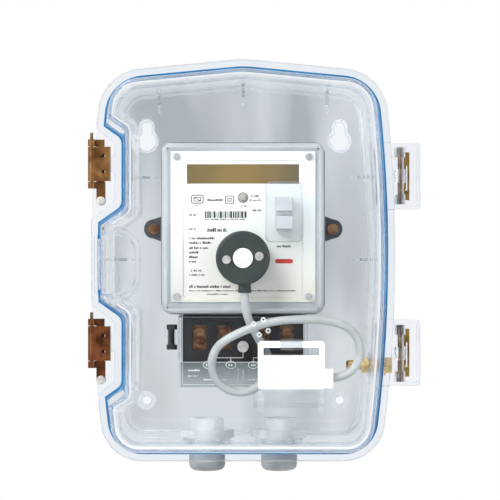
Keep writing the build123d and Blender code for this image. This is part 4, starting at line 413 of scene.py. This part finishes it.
def latch_sheet():
    """Brown passivated sheet, darker and redder on the lower latch."""
    shader = Shader("latch_brown")
    patches = shader.noise(130, detail=4.0, distortion=0.6)
    upper = shader.tones(patches, (96, 64, 38), (158, 116, 74), high=0.68)
    lower = shader.tones(patches, (74, 42, 26), (134, 84, 54), high=0.68)
    # Darker and redder on the lower latch.
    shader.feed(shader.mixed(shader.along("Z", *LATCH_TOP_TO_BOTTOM), upper, lower), "Base Color")
    shader.drawn(0.36, 0.56, DRAWN_ALONG_Z)


def gland_rubber():
    """The cable glands: noses below the box painted darker grey as shade under the box's rim, and paler,
    translucent threads inside it.
    """
    shader = Shader("gland_grey")
    patches = shader.noise(60)
    # The noses' darker grey is painted shade under the rim of the box.
    shaded_nose = shader.tones(patches, (116, 122, 124), (150, 155, 157))
    thread = shader.tones(patches, (206, 209, 210), (234, 236, 236))
    inside = shader.along("Z", *GLAND_INSIDE)
    shader.feed(shader.mixed(inside, shaded_nose, thread), "Base Color")
    shader.feed(shader.ranged(inside, 0.0, 1.0, 1.0, 0.45), "Alpha")
    shader.grained(0.45, 0.62)


def display_glass():
    """The blank liquid crystal: olive brown, greyer towards its right end, with faint vertical bands."""
    shader = Shader("display_olive")
    across = shader.along("X", *DISPLAY_ENDS)
    bands = shader.noise(120, detail=1.0, stretch=(1, 0.05, 0.05))
    tone = shader.ramp(across, [
        (0.0, (122, 103, 60)), (0.55, (150, 120, 70)), (0.80, (140, 115, 70)), (1.0, (112, 102, 74)),
    ])
    deeper = shader.ramp(across, [(0.0, (108, 92, 54)), (0.6, (134, 108, 62)), (1.0, (98, 90, 66))])
    shader.feed(shader.mixed(bands, tone, deeper), "Base Color")
    shader.roughness(shader.noise(300), 0.12, 0.22)
    shader.set(Coat_Weight=0.6)


def face_plate():
    """Satin plate: cream inside its frame and greyer low down, where the grey is painted shade, pale grey on
    the ledge round the frame.
    """
    shader = Shader("face_white")
    clouds = shader.noise(28, detail=2.0)
    upper = shader.tones(clouds, (252, 249, 240), (255, 254, 248))
    # Painted shade: the plate is greyer towards its bottom.
    lower = shader.tones(clouds, (226, 220, 208), (238, 233, 222))
    ledge = shader.tones(clouds, (176, 178, 178), (196, 198, 198))
    plate = shader.mixed(shader.along("Z", *FACE_PAINTED_SHADE), upper, lower)
    shader.feed(shader.mixed(shader.within(*FACE_FRAME), ledge, plate), "Base Color")
    shader.roughness(shader.noise(500), 0.38, 0.50)
    shader.bump(shader.noise(1800), FACE_GRAIN_HEIGHT, 0.3, PLASTIC_EDGE)


cover_plastic()
tray_plastic()
window_plastic()
fitting_plastic()
latch_sheet()
gland_rubber()
display_glass()
face_plate()
metal("hinge_gold", (112, 88, 46), (186, 154, 92), 0.28, 0.42, 110, DRAWN_ALONG_Z)
metal("pin_steel", (84, 70, 58), (148, 132, 116), 0.30, 0.45, 200, DRAWN_ALONG_Z)
metal("rivet_steel", (164, 164, 160), (208, 208, 204), 0.25, 0.40, 240, bare=0.35)
metal("brass", (194, 160, 100), (236, 214, 160), 0.22, 0.38, 160, DRAWN_ALONG_Y)
metal("cell_steel", (164, 164, 162), (212, 212, 210), 0.22, 0.35, 120)
metal("copper", (108, 72, 50), (192, 146, 114), 0.28, 0.46, 220)
moulded("seal_blue", (12, 132, 196), (72, 178, 230), 0.30, 0.45)
moulded("meter_dark", (52, 58, 62), (78, 84, 88), 0.40, 0.55)
moulded("lamp_grey", (140, 134, 124), (182, 178, 170), 0.12, 0.25)
moulded("button_white", (238, 238, 236), (250, 250, 249), 0.35, 0.45)
moulded("board_green", (24, 84, 48), (44, 112, 66), 0.30, 0.45)
moulded("block_black", (7, 9, 9), (18, 20, 20), 0.50, 0.66)
moulded("head_black", (26, 35, 35), (42, 51, 50), 0.42, 0.55, grain=3600)
moulded("disc_white", (240, 240, 238), (252, 252, 250), 0.60, 0.75, grain=5200)
moulded("cable_grey", (150, 154, 155), (180, 184, 184), 0.38, 0.50, patch=40)
moulded("socket_white", (248, 248, 248), (255, 255, 255), 0.30, 0.42)
moulded("print_grey", (38, 38, 39), (66, 66, 65), 0.60, 0.75)
moulded("print_white", (206, 210, 212), (236, 238, 238), 0.60, 0.75)
moulded("print_red", (196, 40, 34), (216, 62, 52), 0.50, 0.60)

for part in frame["record"]["subparts"]:
    mesh = nodes[part["node"]].data
    mesh.materials.clear()
    mesh.materials.append(materials[part["material_slot"]])


# Pieces that the scene adds

def add_piece(name, data, material, body="box"):
    piece = bpy.data.objects.new(name, data)
    piece.data.materials.append(materials[material])
    scene.collection.objects.link(piece)
    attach(piece, body)
    return piece


# The reading cable, from the head to the socket box: the corners of its route are those of the solid, and
# each is given as x, depth and z in millimetres
CABLE_DIAMETER = 5.0
CABLE_ROUTE = [
    (1.0, 67.0, -19.3), (1.0, 67.0, -30.5), (8.0, 58.9, -45.0), (16.6, 56.5, -58.8),
    (13.6, 55.5, -72.6), (1.7, 56.0, -80.1), (-12.1, 58.0, -77.1), (-19.6, 61.0, -65.2),
    (-16.6, 65.0, -51.4), (-4.0, 69.5, -43.5), (14.0, 70.5, -36.5), (36.0, 70.5, -34.5),
    (59.5, 70.0, -36.9), (69.3, 69.0, -46.7), (69.3, 68.0, -60.5), (59.5, 67.5, -70.3),
    (45.7, 67.5, -70.3),
]


def reading_cable():
    """The cable's smooth sheath, a limp cord, in place of the plain solid."""
    route = [Vector((x, -depth, z)) * MM for x, depth, z in CABLE_ROUTE]
    curve = bpy.data.curves.new("reading_cable_sheath", "CURVE")
    curve.dimensions = "3D"
    curve.bevel_depth = CABLE_DIAMETER / 2 * MM
    curve.bevel_resolution = 5
    curve.resolution_u = 10
    curve.use_fill_caps = True
    spline = curve.splines.new("NURBS")
    spline.points.add(len(route) - 1)
    for point, place in zip(spline.points, route):
        point.co = (*place, 1.0)
    spline.order_u = 3
    spline.use_endpoint_u = True
    piece = add_piece("reading_cable_sheath", curve, "cable_grey")
    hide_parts("reading_cable")


def ellipse(x, z, across, upright):
    """The outline of an ellipse with the given half widths."""
    points = 32
    turns = [2 * math.pi * step / points for step in range(points)]
    return [(x + across * math.cos(turn), z + upright * math.sin(turn)) for turn in turns]


def rounded(left, right, top, bottom, radius, points=5):
    """A rectangle with round corners, or with the same points gathered at sharp ones."""
    corners = ((right - radius, top - radius, 0), (left + radius, top - radius, 1),
               (left + radius, bottom + radius, 2), (right - radius, bottom + radius, 3))
    reach = max(radius, 0.001)
    return [(x + reach * math.cos(turn), z + reach * math.sin(turn))
            for x, z, quarter in corners
            for turn in (math.pi / 2 * (quarter + step / (points - 1)) for step in range(points))]


class Relief:
    """Thin raised print on a face that looks forward, gathered in one mesh. Places are in millimetres."""

    # How far print stands before its face, and how far it reaches into it
    HEIGHT = 0.05
    SINK = 0.02

    # Ticks: limits of the width, shares of the row's height, gaps, and the room at the end where none starts
    TICK_WIDTHS = (0.45, 1.05)
    TICK_HEIGHTS = (0.7, 0.7, 1.0)
    TICK_GAPS = (0.22, 0.22, 0.22, 0.9)
    TICK_END = 0.3

    def __init__(self, depth):
        self.mesh = bmesh.new()
        self.back = -(depth - self.SINK) * MM
        self.front = -(depth + self.HEIGHT) * MM

    def loop(self, outline, y):
        return [self.mesh.verts.new((x * MM, y, z * MM)) for x, z in outline]

    def wall(self, first, second):
        for here in range(len(first)):
            after = (here + 1) % len(first)
            self.mesh.faces.new((first[here], first[after], second[after], second[here]))

    def shape(self, outline):
        back = self.loop(outline, self.back)
        front = self.loop(outline, self.front)
        self.mesh.faces.new(front)
        self.mesh.faces.new(back)
        self.wall(back, front)

    def band(self, outer, inner):
        """A closed band between two outlines with the same number of points."""
        rims = ((outer, self.back), (outer, self.front), (inner, self.front), (inner, self.back))
        loops = [self.loop(*rim) for rim in rims]
        for here, after in zip(loops, loops[1:] + loops[:1]):
            self.wall(here, after)

    def bar(self, left, right, top, bottom):
        self.shape([(left, bottom), (right, bottom), (right, top), (left, top)])

    def line(self, left, right, middle, width):
        self.bar(left, right, middle + width / 2, middle - width / 2)

    def stroke(self, start, end, width):
        run = Vector((end[0] - start[0], end[1] - start[1]))
        side = Vector((-run.y, run.x)).normalized() * width / 2
        self.shape([(start[0] - side.x, start[1] - side.y), (end[0] - side.x, end[1] - side.y),
                    (end[0] + side.x, end[1] + side.y), (start[0] + side.x, start[1] + side.y)])

    def box(self, left, right, top, bottom, width, radius=0.0):
        inner_radius = max(radius - width, 0.0)
        self.band(rounded(left, right, top, bottom, radius),
                  rounded(left + width, right - width, top - width, bottom + width, inner_radius))

    def oval(self, x, z, across, upright, width):
        outer = ellipse(x, z, across / 2, upright / 2)
        self.band(outer, ellipse(x, z, across / 2 - width, upright / 2 - width))

    def ticks(self, left, right, middle, height, chance):
        """A row of short upright bars with uneven widths and gaps, in place of a line of small print."""
        bottom = middle - height / 2
        x = left
        while x < right - self.TICK_END:
            width = min(chance.uniform(*self.TICK_WIDTHS), right - x)
            tall = height * chance.choice(self.TICK_HEIGHTS)
            self.bar(x, x + width, bottom + tall, bottom)
            x += width + chance.choice(self.TICK_GAPS)

    def piece(self, name, material, body="box"):
        bmesh.ops.recalc_face_normals(self.mesh, faces=self.mesh.faces)
        data = bpy.data.meshes.new(name)
        self.mesh.to_mesh(data)
        self.mesh.free()
        add_piece(name, data, material, body)


# Rows of ticks on the meter's face: left, right, middle and height
FACE_ROWS = [
    (-30.4, -24.2, 32.6, 0.7), (-21.4, -12.2, 36.0, 1.5), (4.8, 9.8, 38.5, 1.4),
    (4.0, 10.4, 35.9, 1.0), (-1.2, 2.4, 32.5, 1.1), (5.8, 11.4, 30.0, 1.6),
    (-32.3, -28.0, 27.2, 1.3), (-32.3, -28.4, 18.7, 1.2), (-21.4, -9.9, 18.1, 2.3),
    (-32.3, -17.2, 13.1, 1.4), (-32.3, -18.7, 10.4, 1.4), (-32.3, -21.0, 7.3, 1.4),
    (-32.3, -26.4, 4.6, 1.4), (-32.3, -26.8, 1.8, 1.4), (-32.3, -28.3, -0.9, 1.3),
    (-31.2, -24.0, -6.3, 1.2), (-32.3, -22.9, -8.8, 1.3), (-32.3, -7.6, -15.9, 1.6),
    (-32.3, 32.2, -18.4, 0.8), (-21.8, -9.1, -20.4, 0.8), (20.2, 28.8, 8.3, 1.4),
]

# The number strip: its ends, the top and bottom of its stripes, their widths and their gaps
STRIP_LEFT = -22.8
STRIP_RIGHT = 1.2
STRIP_TOP = 29.2
STRIP_BOTTOM = 25.2
STRIPE_WIDTHS = (0.45, 0.45, 0.9, 1.3)
STRIPE_GAPS = (0.35, 0.45, 0.65)


def face_print():
    """Generic bars, boxes and stripes where the meter's face is printed."""
    chance = random.Random(7)
    dark = Relief(FACE_DEPTH)
    # Mark boxes in the upper row
    dark.box(-31.2, -23.6, 39.2, 33.8, 0.6, 1.4)
    dark.box(-29.7, -25.1, 37.9, 35.1, 0.5, 0.6)
    dark.stroke((-29.3, 37.4), (-25.6, 35.6), 0.5)
    dark.box(-10.7, -5.5, 38.6, 33.7, 0.5)
    dark.box(-9.4, -6.9, 37.3, 35.0, 0.5)
    dark.oval(0.0, 37.4, 6.4, 6.4, 0.45)
    for row in FACE_ROWS:
        dark.ticks(*row, chance)
    # The number strip, and a row of ticks below it
    x = STRIP_LEFT
    while x < STRIP_RIGHT:
        width = chance.choice(STRIPE_WIDTHS)
        dark.bar(x, x + width, STRIP_TOP, STRIP_BOTTOM)
        x += width + chance.choice(STRIPE_GAPS)
    dark.ticks(-22.6, 1.4, 24.4, 0.9, chance)
    dark.piece("face_print", "print_grey")
    red = Relief(FACE_DEPTH)
    red.shape(rounded(19.2, 30.0, 0.6, -2.0, 1.3, points=8))
    red.piece("face_mark", "print_red")


# Print on the terminal cover: the four terminals, the line that joins them, the frame, and rows of ticks
TERMINAL_X = (-20.9, -7.3, 6.2, 19.8)
TERMINAL_Z = -63.0
JOINING_Z = -58.7
DRAWN_FRAME_X = 36.6
DRAWN_FRAME_Z = -74.9
DRAWN_FRAME_WIDTH = 0.3
TERMINAL_ROWS = [
    (-32.8, -25.6, -66.2, 1.1), (-32.8, -27.0, -69.5, 1.1), (-14.5, -9.5, -71.8, 1.0),
    (3.2, 8.2, -71.8, 1.0), (-23.6, -18.2, -71.8, 1.0),
]


def terminal_print():
    """White line drawing on the clear terminal cover: four terminal ovals and the lines that join them."""
    chance = random.Random(11)
    white = Relief(TERMINAL_COVER_DEPTH)
    for x in TERMINAL_X:
        white.oval(x, TERMINAL_Z, 6.4, 4.6, 0.4)
        white.ticks(x - 1.4, x + 1.4, TERMINAL_Z, 1.6, chance)
    white.line(TERMINAL_X[0], 0.0, JOINING_Z, 0.35)
    white.line(TERMINAL_X[2], TERMINAL_X[3], JOINING_Z, 0.35)
    for x in TERMINAL_X:
        white.bar(x - 0.18, x + 0.18, JOINING_Z, -60.7)
    white.bar(-0.2, 0.2, -55.5, JOINING_Z)
    for x in (-3.0, -0.2):
        white.bar(x, x + 0.35, -65.3, -72.7)
    for row in TERMINAL_ROWS:
        white.ticks(*row, chance)
    white.line(-DRAWN_FRAME_X, DRAWN_FRAME_X, DRAWN_FRAME_Z, DRAWN_FRAME_WIDTH)
    for x in (-DRAWN_FRAME_X, DRAWN_FRAME_X - DRAWN_FRAME_WIDTH):
        white.bar(x, x + DRAWN_FRAME_WIDTH, -62.0, DRAWN_FRAME_Z)
    white.piece("terminal_cover_print", "print_white")


# Both ends of the three creases, drawn as lines of painted shade, and of the pen stroke on the disc
DISC_LINE_WIDTH = 0.28
CREASE_SHADE_AND_PEN_LINES = [
    ((-4.6, 0.4), (-0.4, -0.6)), ((-0.4, -0.6), (1.2, -3.6)), ((-0.4, -0.6), (3.4, 1.0)),
    ((-1.8, 3.4), (2.2, 4.6)),
]


def disc_crease_shade_and_pen():
    """Lines of painted shade where the paper disc of the reading head is creased, and a pen stroke across
    it.
    """
    disc_lines = Relief(HEAD_DISC_DEPTH)
    # Each crease is a line of painted shade; the last line is the pen stroke.
    for start, end in CREASE_SHADE_AND_PEN_LINES:
        disc_lines.stroke(start, end, DISC_LINE_WIDTH)
    disc_lines.piece("head_disc_crease_shade_and_pen", "print_grey")


# The middles of the rings on the cover
RING_PLACES = [(6.3, -36.4), (11.8, -34.1), (14.6, -40.4), (9.5, -42.7)]
RING_ACROSS = 3.0
RING_WIDTH = 0.75


def cover_rings():
    """Four small white rings on the front of the cover, two on each side of the cable's upper run."""
    rings = Relief(COVER_DEPTH)
    for x, z in RING_PLACES:
        rings.oval(x, z, RING_ACROSS, RING_ACROSS, RING_WIDTH)
    rings.piece("cover_rings", "print_white", "cover")


reading_cable()
face_print()
terminal_print()
disc_crease_shade_and_pen()
cover_rings()


# Camera, light and floor

def add_camera():
    data = bpy.data.cameras.new("camera")
    data.sensor_width = SENSOR_MM
    data.lens = SENSOR_MM * (RIM_Y - CAMERA_PLACE[1]) / FRAME_WIDTH
    camera = bpy.data.objects.new("camera", data)
    camera.location = CAMERA_PLACE
    camera.rotation_euler = (math.radians(90), 0, 0)
    scene.collection.objects.link(camera)
    scene.camera = camera


# Lamps: name, place, width and height, watts and colour; all of them look at one point
LAMP_TARGET = (0, -0.05, 0)
LAMPS = [
    ("key", (-0.7, -1.0, 0.9), (0.7, 0.7), 14, (1.0, 0.965, 0.92)),
    ("left_strip", (-0.8, -0.7, 0.0), (0.12, 1.2), 3, (1, 1, 1)),
    ("right_strip", (0.8, -0.7, 0.0), (0.12, 1.2), 2.5, (1, 1, 1)),
]


def add_lamp(name, place, size, watts, colour):
    data = bpy.data.lights.new(name, "AREA")
    data.shape = "RECTANGLE"
    data.size, data.size_y = size
    data.energy = watts
    data.color = colour
    lamp = bpy.data.objects.new(name, data)
    lamp.location = place
    lamp.rotation_euler = (Vector(LAMP_TARGET) - Vector(place)).to_track_quat("-Z", "Y").to_euler()
    scene.collection.objects.link(lamp)


# The studio round the box, from in front of it to behind it
STUDIO_TONES = [
    (0.015, (172, 175, 179)), (0.07, (216, 219, 222)), (0.28, (248, 249, 250)), (0.43, (180, 185, 190)),
    (0.56, (166, 171, 177)), (0.72, (248, 250, 252)), (1.0, (250, 251, 252)),
]


def studio_world():
    """White for the eye. What the plastic bends and reflects is greyer at the sides and in front."""
    world = bpy.data.worlds.new("studio")
    world.use_nodes = True
    tree = world.node_tree
    tree.nodes.clear()
    output = tree.nodes.new("ShaderNodeOutputWorld")
    seen = tree.nodes.new("ShaderNodeBackground")
    seen.inputs["Color"].default_value = (1, 1, 1, 1)
    lit = tree.nodes.new("ShaderNodeBackground")
    place = tree.nodes.new("ShaderNodeTexCoord")
    split = tree.nodes.new("ShaderNodeSeparateXYZ")
    depth = tree.nodes.new("ShaderNodeMapRange")
    depth.inputs["From Min"].default_value = -1.0
    ramp = tree.nodes.new("ShaderNodeValToRGB")
    fill_ramp(ramp, STUDIO_TONES)
    tree.links.new(place.outputs["Generated"], split.inputs["Vector"])
    tree.links.new(split.outputs["Y"], depth.inputs["Value"])
    tree.links.new(depth.outputs["Result"], ramp.inputs["Fac"])
    tree.links.new(ramp.outputs["Color"], lit.inputs["Color"])
    split_by_ray(tree, "Is Camera Ray", lit.outputs["Background"], seen.outputs["Background"], output)
    scene.world = world


FLOOR_RADIUS = 0.5
FLOOR_DROP = 0.085


def add_floor():
    """A round pale floor under the box."""
    mesh = bpy.data.meshes.new("floor")
    shape = bmesh.new()
    bmesh.ops.create_circle(shape, cap_ends=True, segments=96, radius=FLOOR_RADIUS)
    shape.to_mesh(mesh)
    shape.free()
    floor = bpy.data.objects.new("floor", mesh)
    floor.location = (0, 0, cad_low.z - FLOOR_DROP)
    shader = Shader("floor_pale")
    shader.feed(shader.tones(shader.noise(6), (240, 241, 243), (248, 248, 249)), "Base Color")
    shader.set(Roughness=0.8)
    mesh.materials.append(shader.material)
    scene.collection.objects.link(floor)


add_camera()
studio_world()
for lamp in LAMPS:
    add_lamp(*lamp)
add_floor()

# Light meets many clear walls on its way through the box
BOUNCES = 64
scene.view_settings.view_transform = "Standard"
scene.cycles.max_bounces = BOUNCES
scene.cycles.glossy_bounces = BOUNCES
scene.cycles.transmission_bounces = BOUNCES
scene.cycles.transparent_max_bounces = BOUNCES
